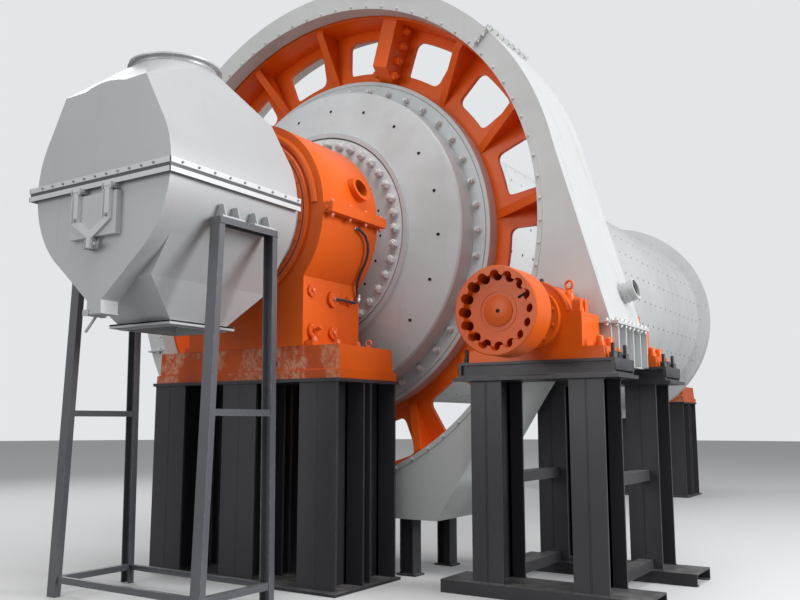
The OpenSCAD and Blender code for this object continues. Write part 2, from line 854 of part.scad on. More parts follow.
// Channel leg from foot y to top y: web on the side of out, flanges pointing the other way
module stand_leg(yf, yt, z1, out) {
  d = 48;
  t = 8;
  k = out > 0 ? 0 : -t;
  side_plate(-stand_c / 2, stand_c, [[yf + k, 0], [yf + k + t, 0], [yt + k + t, z1], [yt + k, z1]]);
  for (x = [-stand_c / 2, stand_c / 2 - t])
    side_plate(x, t, [[yf, 0], [yf - out * d, 0], [yt - out * d, z1], [yt, z1]]);
}

// Channel along y with its web up
module stand_beam(y0, y1, z1) {
  c = stand_c / 2;
  t = 8;
  span([-c, y0, z1 - t], [c, y1, z1]);
  for (x = [-c, c - t])
    span([x, y0, z1 - 50], [x + t, y1, z1 - t + 1]);
}

// Side frame of the hood stand on side s
module stand_frame(s) {
  y0 = stand_y0 + 8;
  y1 = stand_y1 - 8;
  top = stand_h - 50;
  tie_z = stand_h / 2 + 20;
  color("#44464e")
    translate([s * stand_x, 0, 0]) {
      stand_leg(y0 - stand_lean, y0, top, -1);
      stand_leg(y1 + stand_lean / 2, y1, top, 1);
      stand_beam(stand_y0 - 1, stand_y1 + 1, stand_h);
      for (z = [tie_z, 160]) {
        ya = leg_y(z, y0 - stand_lean, y0);
        yb = leg_y(z, y1 + stand_lean / 2, y1);
        span([34, ya, z - 50], [42, yb, z]);
        span([-14, ya, z - 8], [42, yb, z]);
      }
    }
}

function leg_y(z, yf, yt) = yf + (yt - yf) * z / (stand_h - 50);

module stand_right() stand_frame(1);
module stand_left() stand_frame(-1);

// Channels across, near the floor, between the two side frames
module stand_ties() {
  x = stand_x - stand_c / 2;
  z = 110;
  front = leg_y(z, stand_y0 + 8 - stand_lean, stand_y0 + 8) + 8;
  rear = leg_y(z, stand_y1 - 8 + stand_lean / 2, stand_y1 - 8) - 8;
  color("#44464e")
    for (p = [[front, 1], [rear, -1]]) {
      y = p[0];
      far = y + p[1] * 38;
      span([-x, min(y, y + p[1] * 8), z], [x, max(y, y + p[1] * 8), z + 50]);
      span([-x, min(y, far), z + 42], [x, max(y, far), z + 50]);
    }
}

// Gear tooth: half angle at radius r
function inv(a) = tan(a) * 180 / PI - a;
function half_tooth(z, r) =
  let (p = gear_m * z / 2, base = p * cos(press_a), rr = max(r, base + 0.001))
  90 / z - backlash / 4 / p * 180 / PI + inv(press_a) - inv(acos(base / rr));

// Outline of a toothed wheel with steps points on each flank
function tooth_radii(z, steps) =
  let (p = gear_m * z / 2, r0 = p - 1.25 * gear_m, r1 = p + gear_m)
  [for (i = [0:steps]) r0 + (r1 - r0) * i / steps];
function wheel(z, phase, steps) =
  let (rr = tooth_radii(z, steps))
  [for (k = [0:z - 1])
    for (j = [0:2 * steps + 1])
      let (up = j <= steps, i = up ? j : 2 * steps + 1 - j,
           a = phase + 360 * k / z + (up ? -1 : 1) * half_tooth(z, rr[i]))
      polar(a, rr[i])];

// Rounded window of the web, drawn round the angle zero
function arc(c, r, a0, a1, n) = [for (i = [0:n]) c + polar(a0 + (a1 - a0) * i / n, r)];
module window_2d() {
  a = 180 / window_n * window_share;
  r = window_r;
  ci = window_ri + r;
  co = window_ro - r;
  ai = a - asin(r / ci);
  ao = a - asin(r / co);
  side = concat(arc(polar(ai, ci), r, ai + 180, a + 90, 3), arc(polar(ao, co), r, a + 90, ao, 3));
  n = len(side);
  polygon(concat(
    side,
    [for (i = [1:3]) polar(ao - 2 * ao * i / 4, window_ro)],
    [for (i = [n - 1:-1:0]) [side[i][0], -side[i][1]]],
    [for (i = [1:3]) polar(-ai + 2 * ai * i / 4, window_ri)]));
}

// Places a drawing of radius and y as a plate of thickness t standing radially at angle a
module radial_plate(a, t)
  translate([0, 0, axis_h])
    rotate([0, -a, 0])
      translate([0, 0, -t / 2])
        linear_extrude(t) children();

module gear_rib(a) {
  r0 = flange_r + 16;
  r1 = rim_ri + 4;
  yf = gear_y0 + 14;
  yb = gear_y1 - 14;
  radial_plate(a, rib_t)
    polygon([[r0, web_y0 + 1], [r1, web_y0 + 1], [r1, yf], [r1 - 60, yf]]);
  radial_plate(a, rib_cap_w)
    polygon([[r0 - 2, web_y0 + 1], [r0 + rib_cap_t + 26, web_y0 + 1], [r1 - 40, yf + rib_cap_t],
             [r1, yf + rib_cap_t], [r1, yf], [r1 - 60, yf]]);
  radial_plate(a, rib_t)
    polygon([[hub_ri + 30, web_y1 - 1], [r1, web_y1 - 1], [r1, yb], [r1 - 60, yb]]);
}

// Bolted joint flanges on both sides of the split
module joint_flange(a, side) {
  r0 = flange_r + 16;
  r1 = rim_ri + 6;
  holes = [for (i = [0:3]) r0 + 70 + i * (r1 - r0 - 130) / 3];
  translate([0, 0, axis_h])
    rotate([0, -a, 0])
      difference() {
        union() {
          translate([0, 0, side > 0 ? 0 : -joint_t])
            linear_extrude(joint_t)
              polygon([[r0, web_y0 + 1], [r1, web_y0 + 1], [r1, gear_y0 + 10],
                       [r0 + 110, gear_y0 + 40], [r0, web_y0 - 90]]);
          translate([0, 0, side > 0 ? 0 : -joint_t])
            linear_extrude(joint_t)
              polygon([[hub_ri + 8, web_y1 - 1], [r1, web_y1 - 1], [r1, gear_y1 - 10],
                       [hub_ri + 60, gear_y1 - 10]]);
        }
        for (r = holes)
          translate([r, web_y0 - 130, -joint_t - 1])
            cylinder(d = joint_hole_d, h = 2 * joint_t + 2, $fn = 48);
      }
}

// Half of the girth gear, on the side of the split given by up
module gear_half(up) {
  phase = pinion_a + 180 / gear_z;
  bay = 360 / window_n;
  start = up ? split_a : split_a + 180;
  difference() {
    union() {
      intersection() {
        union() {
          along_y(gear_y0, gear_w)
            difference() {
              polygon(wheel(gear_z, phase, 1));
              circle(r = rim_ri);
            }
          along_y(web_y0, web_t)
            difference() {
              circle(r = rim_ri + 4);
              circle(r = hub_ri);
              for (i = [0:window_n - 1])
                rotate(split_a + (i + 0.5) * bay) window_2d();
            }
        }
        along_y(gear_y0 - 10, gear_w + 20)
          rotate(start)
            translate([-2 * gear_tip, 0]) square([4 * gear_tip, 2 * gear_tip]);
      }
      for (i = [1:window_n / 2 - 1])
        gear_rib(start + i * bay);
      joint_flange(start, 1);
      joint_flange(start + 180, -1);
    }
    // Bolt holes that the gear shares with the flanges
    along_y(web_y0 - 10, web_t + 20)
      for (i = [0:6])
        rotate(start + (1.5 + 3 * i) * bolt_step)
          translate([head_pcd / 2, 0]) circle(d = 46, $fn = 32);
  }
}

module girth_gear_upper() {
  color("#e0641e") gear_half(true);
}

module girth_gear_lower() {
  color("#d65c1a") gear_half(false);
}

// Outline of the guard in x and height from the axis
module guard_2d(g) {
  r = guard_r - g;
  p = [guard_reach - g, joint_z];
  t1 = touch(tangent_a(p, r), r);
  low = [guard_reach - g, joint_z - box_drop + g];
  inner = polar(-34, r);
  b = [guard_bottom_w - g * 0.6, bottom_z + g];
  t2 = touch(tangent_a(b, r), r);
  circle(r = r);
  polygon([[0, 0], inner, [inner[0], low[1]], low, p, t1]);
  polygon([[0, 0], [-t2[0], t2[1]], [-b[0], b[1]], b, t2]);
}

// The whole guard before it is split
module guard_whole() {
  curb = gear_y0 - curb_gap - guard_y0;
  curb_b = guard_y1 - gear_y1 - curb_gap;
  difference() {
    union() {
      along_y(guard_y0, guard_y1 - guard_y0)
        difference() {
          guard_2d(0);
          guard_2d(guard_t);
        }
      for (y = [guard_y0, guard_y1 - guard_t])
        along_y(y, guard_t)
          difference() {
            guard_2d(1);
            circle(r = guard_ri);
          }
      along_y(guard_y0, curb)
        difference() {
          circle(r = guard_ri + guard_t);
          circle(r = guard_ri);
        }
      along_y(guard_y1 - curb_b, curb_b)
        difference() {
          circle(r = guard_ri + guard_t);
          circle(r = guard_ri);
        }
      along_y(guard_y0 - 6, 8)
        difference() {
          circle(r = guard_ri + 44);
          circle(r = guard_ri);
        }
    }
    translate([pinion_x, guard_y0 - 20, pinion_h])
      rotate([-90, 0, 0]) cylinder(d = pinion_shoulder + 30, h = guard_y1 - guard_y0 + 40, $fn = 96);
  }
}

// Region right of the radial joint and over the level joint
module guard_right_region(gap = 0) {
  p = gap * [-sin(guard_joint_a), cos(guard_joint_a)];
  along_y(guard_y0 - 100, guard_y1 - guard_y0 + 200)
    polygon([[-gap, joint_z], p, p + polar(guard_joint_a, 6000), [6000, joint_z]]);
}

module guard_upper_region()
  along_y(guard_y0 - 100, guard_y1 - guard_y0 + 200)
    translate([-4000, joint_z]) square([8000, 8000]);

// Flat bar along a guard joint, at angle a, from radius r0 to r1
module joint_bar(a, side, y0, y1, r0, r1)
  translate([0, 0, axis_h])
    rotate([0, -a, 0])
      translate([r0, y0, side > 0 ? 0 : -10])
        cube([r1 - r0, y1 - y0, 10]);

module guard_top() {
  color("#c4c7c6") {
    difference() {
      union() {
        intersection() {
          guard_whole();
          guard_upper_region();
        }
        joint_bar(guard_joint_a, 1, guard_y0, guard_y1, guard_r - 20, guard_r + 50);
        joint_bar(guard_joint_a, 1, guard_y0 - 40, guard_y0 + 4, guard_ri + 44, guard_r + 40);
      }
      guard_right_region(0.3);
    }
    difference() {
      span([-joint_x - 60, guard_y0, guard_joint_h], [-joint_x + 30, guard_y1, guard_joint_h + 10]);
      along_y(guard_y0 - 1, guard_y1 - guard_y0 + 2) circle(r = guard_r - guard_t);
    }
  }
}

module guard_side() {
  na = 90 - tangent_a([guard_reach, joint_z], guard_r);
  nz = guard_joint_h + 300;
  nx = guard_reach - (nz - guard_joint_h) / tan(na);
  color("#c9cccb")
    difference() {
      union() {
        intersection() {
          guard_whole();
          guard_right_region();
        }
        joint_bar(guard_joint_a, -1, guard_y0, guard_y1, guard_r - 20, guard_r + 50);
        joint_bar(guard_joint_a, -1, guard_y0 - 40, guard_y0 + 4, guard_ri + 44, guard_r + 40);
        span([guard_reach - 10, guard_y0, guard_joint_h], [guard_reach + 62, guard_y1, guard_joint_h + 12]);
        translate([nx - 30, gear_y + 150, nz])
          rotate([0, na, 0]) cylinder(d = nozzle_d, h = 160, $fn = 96);
      }
      translate([nx - 60, gear_y + 150, nz])
        rotate([0, na, 0]) cylinder(d = nozzle_d - 16, h = 240, $fn = 96);
    }
}

module guard_bottom() {
  color("#b9bcbc") {
    difference() {
      guard_whole();
      guard_upper_region();
    }
    span([guard_reach - 10, guard_y0, guard_joint_h - 12], [guard_reach + 62, guard_y1, guard_joint_h]);
    for (i = [0:4])
      translate([guard_reach - 2, guard_y0 + 30 + i * (guard_y1 - guard_y0 - 72) / 4, 0])
        span([0, 0, guard_joint_h - box_drop + 4], [52, 12, guard_joint_h - 11]);
    difference() {
      span([-joint_x - 60, guard_y0, guard_joint_h - 10], [-joint_x + 30, guard_y1, guard_joint_h]);
      along_y(guard_y0 - 1, guard_y1 - guard_y0 + 2) circle(r = guard_r - guard_t);
    }
  }
}

// Four short box legs under the guard, each with a foot plate
module guard_legs() {
  w = 140;
  color("#3a3a40")
    for (x = [-1, 1], y = [guard_y0 + w / 2 + 8, guard_y1 - w / 2 - 8])
      translate([x * 1065, y, 0]) {
        translate([-w / 2 - 30, -w / 2 - 8, 0]) cube([w + 60, w + 16, 16]);
        translate([0, 0, 15])
          rotate([0, 0, 90]) h_beam(w, w, 12, 8, guard_bottom_h - 15);
      }
}

// Pinion frame
module frame_columns() {
  color("#3a3a40")
    for (sx = [-1, 1], y = pinion_ys)
      translate([pinion_x + sx * col_half, y, rail_h])
        h_beam(col_w, col_d, 18, 12, frame_h - rail_h - psole_plate);
}

module frame_rails() {
  len = 1720;
  w = col_d / 2 + 20;
  color("#44464e")
    for (y = pinion_ys)
      translate([pinion_x - len / 2, y, 0])
        rotate([90, 0, 90])
          linear_extrude(len)
            polygon([[-w, 0], [-w, rail_h], [w, rail_h], [w, 0], [w - 60, 0], [w - 60, rail_t],
                     [w - rail_t, rail_t], [w - rail_t, rail_h - rail_t], [rail_t - w, rail_h - rail_t],
                     [rail_t - w, rail_t], [60 - w, rail_t], [60 - w, 0]]);
}

// Channel braces between the front and rear columns
module frame_braces() {
  y0 = pinion_ys[0] + col_d / 2;
  y1 = pinion_ys[1] - col_d / 2;
  color("#44464e")
    for (sx = [-1, 1], z = [960, rail_h + 92])
      translate([pinion_x + sx * col_half, y1, z])
        rotate([90, 0, 0])
          linear_extrude(y1 - y0)
            polygon([[-60, 0], [60, 0], [60, -90], [50, -90], [50, -10], [-50, -10], [-50, -90], [-60, -90]]);
}

// Built-up sole beam under one pinion bearing, with its seat plate wider on the outer side
module pinion_sole(y) {
  l = psole_l;
  w = psole_w;
  recess = 26;
  edge = 24;
  over = 40;
  lap_front = y < gear_y ? 30 : 0;
  lap_rear = y < gear_y ? 0 : 30;
  color("#44464e") {
    difference() {
      span([pinion_x - l, y - w, frame_h - 1], [pinion_x + l, y + w, psole_top]);
      for (s = [-1, 1]) {
        span([pinion_x - l + edge, y + s * w - (s > 0 ? recess : 1), frame_h + 16],
             [pinion_x + l - edge, y + s * w + (s > 0 ? 1 : recess), psole_top - 22]);
        span([pinion_x + s * l - (s > 0 ? recess : 1), y - w + edge, frame_h + 16],
             [pinion_x + s * l + (s > 0 ? 1 : recess), y + w - edge, psole_top - 22]);
      }
    }
    span([pinion_x - l - over, y - w - lap_front, frame_h - psole_plate],
         [pinion_x + l + over, y + w + lap_rear, frame_h]);
  }
}

module pinion_soles()
  for (y = pinion_ys) pinion_sole(y);

// Front view of a pinion bearing: round cap with side lugs, or block with a long foot
module pb_front(up) {
  z0 = psole_top - pinion_h;
  z1 = z0 + pb_foot_h;
  if (up) {
    intersection() {
      circle(r = pb_r);
      translate([-pb_r, 0]) square([2 * pb_r, pb_r + 1]);
    }
    translate([-pb_half, 0]) square([2 * pb_half, pb_ear]);
  } else {
    polygon([[-pb_foot, z0], [pb_foot, z0], [pb_foot - 14, z1], [pb_half, z1], [pb_half, 0],
             [-pb_half, 0], [-pb_half, z1], [-pb_foot + 14, z1]]);
  }
}

// Upright prong beside a bolt slot, rounded at the top, with its low face at w
module pb_prong(s, w) {
  r = 30;
  translate([s > 0 ? pb_half - 78 : -pb_half + 14, 0, w + r])
    rotate([0, 90, 0])
      linear_extrude(64) {
        translate([-touch(0, r)[0], pb_ear - 1]) square([2 * touch(0, r)[0], prong_h - r + 1]);
        translate([0, pb_ear + prong_h - r]) circle(r = r, $fn = 32);
      }
}

module pinion_bearing(y, up) {
  front = y < gear_y;
  outer = front ? pb_len - 1 : -61;
  inner = front ? -27 : pb_len - 1;
  translate([pinion_x, y + pb_len / 2, pinion_h])
    rotate([90, 0, 0])
      difference() {
        union() {
          linear_extrude(pb_len) pb_front(up);
          // End covers
          for (e = [[outer, 62, 55], [inner, 28, 70]])
            translate([0, 0, e[0]])
              intersection() {
                cylinder(r = pb_r - e[2], h = e[1]);
                translate([-pb_r, up ? 0 : -pb_r, -1]) cube([2 * pb_r, pb_r, e[1] + 2]);
              }
          if (up) {
            for (s = [-1, 1], w = [pb_len - 74, pb_len - 184])
              pb_prong(s, w);
            translate([0, pb_r - 20, pb_len / 2]) rotate([-90, 0, 0]) cylinder(d = 90, h = 42, $fn = 48);
          } else {
            // Screw bosses on the foot
            for (s = [-1, 1], w = [90, pb_len - 90])
              translate([s * (pb_foot - 70), psole_top - pinion_h + pb_foot_h - 2, w])
                rotate([-90, 0, 0]) cylinder(d = 84, h = 30, $fn = 48);
          }
        }
        translate([0, 0, -70]) cylinder(d = pinion_journal + 0.6, h = pb_len + 140);
      }
}

module pinion_bearing_bases() {
  color("#e0641e")
    for (y = pinion_ys) pinion_bearing(y, false);
}

module pinion_bearing_caps() {
  color("#e0641e")
    for (y = pinion_ys) pinion_bearing(y, true);
}

// Turning pieces
module shell() {
  color("#c4c7c6")
    about_axis()
      polygon([[shell_r - shell_t, shell_y0], [lip_ri, shell_y0], [lip_ri, shell_y0 - lip_reach],
               [flange_r - 4, shell_y0 - lip_reach], [flange_r, shell_y0 - lip_reach + 4],
               [flange_r, web_y0], [shell_r, web_y0], [shell_r, shell_y1 - shell_flange_t],
               [flange_r, shell_y1 - shell_flange_t], [flange_r, shell_y1 + lip_reach - 4],
               [flange_r - 4, shell_y1 + lip_reach], [lip_ri, shell_y1 + lip_reach],
               [lip_ri, shell_y1], [shell_r - shell_t, shell_y1]]);
}

seat_ri = 700;
module head() {
  edge_y = head_face_y - head_depth;
  er = head_edge_d / 2;
  lip_r = lip_d / 2;
  seat_y = tr_face_y + tr_flange_t;
  lip_y = head_seat_y - lip_h;
  spigot = shell_r - shell_t - 2;
  color("#b7b8ba")
    about_axis()
      polygon([[seat_ri, seat_y], [lip_r - lip_w, seat_y], [lip_r - lip_w, lip_y], [lip_r, lip_y],
               [lip_r, head_seat_y], [er - 16, edge_y - 4], [er, edge_y + 14],
               [er + 12, head_face_y], [head_fr - 4, head_face_y], [head_fr, head_face_y + 4],
               [head_fr, shell_y0],
               [spigot, shell_y0], [spigot, shell_y0 + 30], [spigot - 60, shell_y0 + 30],
               [spigot - 80, edge_y + head_t], [lip_r, head_seat_y + head_t + 10],
               [seat_ri, seat_y + head_t]]);
}

module discharge_head() head();
module feed_head() at_feed_end() head();

// Hollow trunnion: journal, filleted neck, bolted flange and a spigot in the head
module trunnion(bore) {
  seat_y = tr_face_y + tr_flange_t;
  fr = journal_r + 14;
  bore_r = bore / 2;
  steps = 8;
  color("#9b9da0")
    difference() {
      about_axis()
        polygon(concat(
          [[bore_r, -trunnion_out], [journal_r - 20, -trunnion_out], [journal_r, -trunnion_out + 20],
           [journal_r, mb_len / 2 + 20], [fr, mb_len / 2 + 34]],
          [for (i = [0:steps]) [fr + neck_r * (1 - cos(90 * i / steps)),
                                tr_face_y - neck_r * (1 - sin(90 * i / steps))]],
          [[tr_flange_d / 2, tr_face_y], [tr_flange_d / 2, seat_y], [seat_ri - 2, seat_y],
           [seat_ri - 2, seat_y + head_t + 60], [bore_r + 60, seat_y + head_t + 60],
           [bore_r, seat_y + head_t]]));
      for (i = [0:9])
        along_y(tr_face_y - 10, tr_flange_t + 20)
          rotate(i * 36) translate([tr_pcd / 2, 0]) circle(d = tr_hole_d, $fn = 32);
    }
}

module discharge_trunnion() trunnion(trunnion_bore);
module feed_trunnion() at_feed_end() trunnion(feed_bore);

module pinion() {
  phase = pinion_a + 180;
  jr = pinion_journal / 2;
  sr = pinion_shoulder / 2;
  y0 = pinion_ys[0];
  y1 = pinion_ys[1];
  color("#8f9296") {
    about_pinion()
      polygon([[0, coupling_y + coupling_recess], [jr - 10, coupling_y + coupling_recess],
               [jr - 10, coupling_y + coupling_len + 60], [jr, coupling_y + coupling_len + 60],
               [jr, y0 + pb_len / 2 + 66], [sr, y0 + pb_len / 2 + 66], [sr, y1 - pb_len / 2 - 66],
               [jr, y1 - pb_len / 2 - 66], [jr, y1 + pb_len / 2 + 90], [0, y1 + pb_len / 2 + 90]]);
    translate([pinion_x, 0, pinion_h - axis_h])
      along_y(gear_y0 - 10, gear_w + 20) polygon(wheel(pinion_z, phase, 4));
  }
}

// Pin coupling half: recessed face, pin holes shared by the sleeve and the hub
module coupling() {
  y1 = coupling_y + coupling_len;
  hub_y = coupling_y + coupling_recess;
  jr = pinion_journal / 2 - 10;
  color("#e0641e")
    difference() {
      about_pinion()
        polygon([[jr, hub_y], [pin_pcd / 2 + 2, hub_y], [pin_pcd / 2 + 2, coupling_y],
                 [coupling_r - 8, coupling_y], [coupling_r, coupling_y + 8], [coupling_r, y1 - 8],
                 [coupling_r - 8, y1], [jr + 70, y1], [jr + 70, y1 + 60], [jr, y1 + 60]]);
      for (i = [0:pin_n - 1])
        translate([pinion_x, coupling_y - 5, pinion_h])
          rotate([0, -360 * i / pin_n, 0])
            translate([pin_pcd / 2, 0, 0])
              rotate([-90, 0, 0]) cylinder(d = pin_d, h = coupling_len - 30, $fn = 48);
    }
}

pedestal_plates();  // discharge_pedestal_plates
pedestal_columns();  // discharge_pedestal_columns
sole();  // discharge_sole
bearing_base();  // discharge_bearing_base
bearing_cap();  // discharge_bearing_cap
seal_ring();  // discharge_seal_ring
at_feed_end() pedestal_plates();  // feed_pedestal_plates
at_feed_end() pedestal_columns();  // feed_pedestal_columns
at_feed_end() sole();  // feed_sole
at_feed_end() bearing_base();  // feed_bearing_base
at_feed_end() bearing_cap();  // feed_bearing_cap
at_feed_end() seal_ring();  // feed_seal_ring
lube_hose();
hood_upper();
hood_lower();
hood_vent_flange();
hood_outlet_flange();
hood_brackets();
hood_door();
door_yoke();
door_latch();
spout_flap();
stand_right();
stand_left();
stand_ties();
guard_top();
guard_side();
guard_bottom();
guard_legs();
frame_columns();
frame_rails();
frame_braces();
pinion_soles();
pinion_bearing_bases();
pinion_bearing_caps();
shell();
discharge_head();
feed_head();
discharge_trunnion();
feed_trunnion();
girth_gear_upper();
girth_gear_lower();
pinion();
coupling();
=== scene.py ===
import json
import math

import bmesh
import bpy
from mathutils import Matrix, Vector


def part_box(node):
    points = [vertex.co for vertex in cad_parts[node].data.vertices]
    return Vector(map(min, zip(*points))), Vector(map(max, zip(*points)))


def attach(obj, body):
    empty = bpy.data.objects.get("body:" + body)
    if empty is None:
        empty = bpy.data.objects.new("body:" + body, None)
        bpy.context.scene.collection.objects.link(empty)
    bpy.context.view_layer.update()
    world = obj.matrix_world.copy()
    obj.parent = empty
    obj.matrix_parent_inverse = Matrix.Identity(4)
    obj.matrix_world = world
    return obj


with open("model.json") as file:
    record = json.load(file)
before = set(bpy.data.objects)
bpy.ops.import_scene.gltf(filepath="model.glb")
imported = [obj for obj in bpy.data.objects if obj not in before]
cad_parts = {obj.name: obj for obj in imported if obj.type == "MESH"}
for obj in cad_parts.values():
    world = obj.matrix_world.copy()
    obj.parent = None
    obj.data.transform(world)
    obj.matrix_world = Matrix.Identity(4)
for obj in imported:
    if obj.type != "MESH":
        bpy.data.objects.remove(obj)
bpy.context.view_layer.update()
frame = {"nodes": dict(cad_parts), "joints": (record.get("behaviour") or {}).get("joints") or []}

# Camera: stands at the drive side of the discharge end, at a person's eye height,
# and looks slightly up at the mill.
camera_data = bpy.data.cameras.new("camera")
camera_data.lens = 38.36
camera_data.clip_end = 300.0
camera = bpy.data.objects.new("camera", camera_data)
camera.location = (5.368, -6.077, 1.386)
camera.rotation_euler = (math.radians(98.1), 0.0, math.radians(32.99))
bpy.context.collection.objects.link(camera)
bpy.context.scene.camera = camera
bpy.context.scene.view_settings.view_transform = "Standard"

# Studio: a pale floor and surround, strong daylight from tall windows on the drive side,
# soft light from the roof and a little fill from the discharge end.


class Shade:
    """A shader output; its operators and methods add nodes to its tree."""

    def __init__(self, tree, socket=None):
        self.tree = tree
        self.socket = socket

    def node(self, kind, inputs=None, output=0, **settings):
        """Adds any node: its settings first, then the values or links of its inputs."""
        made = self.tree.nodes.new("ShaderNode" + kind)
        for key, value in settings.items():
            setattr(made, key, value)
        for key, value in (inputs or {}).items():
            if isinstance(value, Shade):
                self.tree.links.new(value.socket, made.inputs[key])
            else:
                made.inputs[key].default_value = value
        return Shade(self.tree, made.outputs[output])

    def math(self, operation, first, second=0.0):
        return self.node("Math", {0: first, 1: second}, operation=operation)

    def __add__(self, other):
        return self.math("ADD", self, other)

    __radd__ = __add__

    def __mul__(self, other):
        return self.math("MULTIPLY", self, other)

    __rmul__ = __mul__

    def __rsub__(self, other):
        return self.math("SUBTRACT", other, self)

    def step(self, low, high):
        """Goes smoothly from 0 at low to 1 at high."""
        limits = {"Value": self, "From Min": low, "From Max": high}
        return self.node("MapRange", limits, interpolation_type="SMOOTHSTEP")

    def mix(self, first, second):
        """The first colour where this is 0 and the second where it is 1."""
        colours = {"Factor": self}
        for key, value in (("A", first), ("B", second)):
            colours[key] = value if isinstance(value, Shade) else (*value, 1.0)
        return self.node("Mix", colours, "Result", data_type="RGBA")


world = bpy.data.worlds.new("surround")
bpy.context.scene.world = world
world.use_nodes = True
world.node_tree.nodes.clear()
sky = Shade(world.node_tree)
seen = sky.node("LightPath", output="Is Camera Ray")
given_light, seen_light = 0.48, 0.96
strength = given_light + (seen_light - given_light) * seen
glow = sky.node("Background", {"Color": (0.80, 0.82, 0.84, 1.0), "Strength": strength})
surround = world.node_tree.nodes.new("ShaderNodeOutputWorld")
world.node_tree.links.new(glow.socket, surround.inputs["Surface"])

form = bmesh.new()
bmesh.ops.create_circle(form, cap_ends=True, segments=96, radius=60.0)
floor_mesh = bpy.data.meshes.new("floor")
form.to_mesh(floor_mesh)
form.free()
floor = bpy.data.objects.new("floor", floor_mesh)
bpy.context.collection.objects.link(floor)
floor_paint = bpy.data.materials.new("pale_floor")
floor_paint.use_nodes = True
floor_shader = floor_paint.node_tree.nodes["Principled BSDF"]
floor_seen = Shade(floor_paint.node_tree).node("LightPath", output="Is Camera Ray")
floor_tone = floor_seen.mix((0.30, 0.30, 0.30), (0.64, 0.64, 0.64))
floor_paint.node_tree.links.new(floor_tone.socket, floor_shader.inputs["Base Color"])
floor_shader.inputs["Roughness"].default_value = 0.85
floor_mesh.materials.append(floor_paint)


def lamp(name, place, target, size, power, colour=(1.0, 1.0, 1.0)):
    """A square lamp that faces a target."""
    data = bpy.data.lights.new(name, "AREA")
    data.size = size
    data.energy = power
    data.color = colour
    made = bpy.data.objects.new(name, data)
    made.location = place
    made.rotation_euler = (Vector(target) - Vector(place)).to_track_quat("-Z", "Y").to_euler()
    bpy.context.collection.objects.link(made)


daylight = (0.97, 0.99, 1.0)
lamp("window_lamp", (15.0, 3.0, 6.5), (1.0, 1.0, 2.6), size=7.0, power=2150.0, colour=daylight)
lamp("roof_lamp", (4.0, -3.0, 13.0), (0.0, 1.0, 2.5), size=8.0, power=900.0)
lamp("front_lamp", (-3.0, -14.0, 6.0), (0.0, 0.0, 2.5), size=8.0, power=580.0)
lamp("far_window_lamp", (-10.0, 4.0, 9.0), (0.0, 2.0, 3.0), size=6.0, power=500.0, colour=daylight)

# Pedestals: six rolled H-beams under each main bearing, welded between a base plate and a
# top plate and sprayed dark grey; root fillets, weld beads, dust on top and rubbed edges.


def paint(
    name, colour, shade, rough=0.4, dust=0.2, runs=0.25, chips=None, gloss=0.0, scale=1.0,
    extra=None, level=0.5,
):
    """Paint with slow tone changes, streaks that run down, specks, dust on top and chipped edges."""
    made = bpy.data.materials.new(name)
    made.use_nodes = True
    shader = made.node_tree.nodes["Principled BSDF"]
    base = Shade(made.node_tree)
    place = base.node("TexCoord", output="Object")
    normal = base.node("NewGeometry", output="Normal")

    def noise(size, detail=4.0, stretch=(1.0, 1.0, 1.0), rough=0.55):
        spread = base.node("Mapping", {"Vector": place, "Scale": stretch})
        values = {"Vector": spread, "Scale": size * scale, "Detail": detail, "Roughness": rough}
        return base.node("TexNoise", values, "Fac")

    broad = noise(0.9).step(0.35, 0.7)
    streak = noise(5.0, 5.0, (1.0, 1.0, 0.08)).step(0.55, 0.78)
    speck = noise(42.0, 3.0).step(0.64, 0.76)
    lying = base.node("SeparateXYZ", {0: normal}, "Z").step(0.55, 0.98)
    film = noise(7.0, 6.0).step(0.38, 0.72)
    tone = (broad * 0.7).mix(colour, shade)
    tone = (streak * runs).mix(tone, [0.55 * v for v in shade])
    tone = (speck * (0.35 * runs)).mix(tone, [0.4 * v for v in shade])
    if extra:
        tone = extra(tone, noise, base, normal)
    tone = ((0.35 + 0.65 * film) * lying * dust).mix(tone, (0.36, 0.34, 0.31))
    matt = rough + 0.12 * broad + 0.1 * streak + lying * (dust * 0.4)
    if chips:
        bare, share = chips
        edge = base.node("Bevel", {"Radius": 0.010}, samples=4)
        turn = base.node("VectorMath", {0: edge, 1: normal}, "Value", operation="DOT_PRODUCT")
        worn = (1.0 - turn).step(0.02, 0.2)
        tone = (worn * noise(16.0, 5.0, rough=0.7).step(0.46, 0.62) * share).mix(tone, bare)
    height = noise(95.0, 2.0) * 0.0005 + noise(3.0, 3.0) * 0.0015
    bump = base.node("Bump", {"Strength": 0.6, "Distance": 1.0, "Height": height})
    for key, value in (("Base Color", tone), ("Roughness", matt), ("Normal", bump)):
        made.node_tree.links.new(value.socket, shader.inputs[key])
    shader.inputs["Specular IOR Level"].default_value = level
    if gloss:
        shader.inputs["Coat Weight"].default_value = gloss
        shader.inputs["Coat Roughness"].default_value = 0.22
    return made


def dress(material, *names):
    """Gives CAD nodes their material."""
    for name in names:
        for slot in frame["nodes"][name].material_slots:
            slot.material = material


def settle(form, name, material, body="base", smooth=35.0):
    """Makes a finished piece of a mesh, riding on a body."""
    bmesh.ops.recalc_face_normals(form, faces=form.faces)
    mesh = bpy.data.meshes.new(name)
    form.to_mesh(mesh)
    form.free()
    mesh.materials.append(material)
    mesh.shade_smooth()
    mesh.set_sharp_from_angle(angle=math.radians(smooth))
    made = bpy.data.objects.new(name, mesh)
    bpy.context.collection.objects.link(made)
    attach(made, body)
    return made


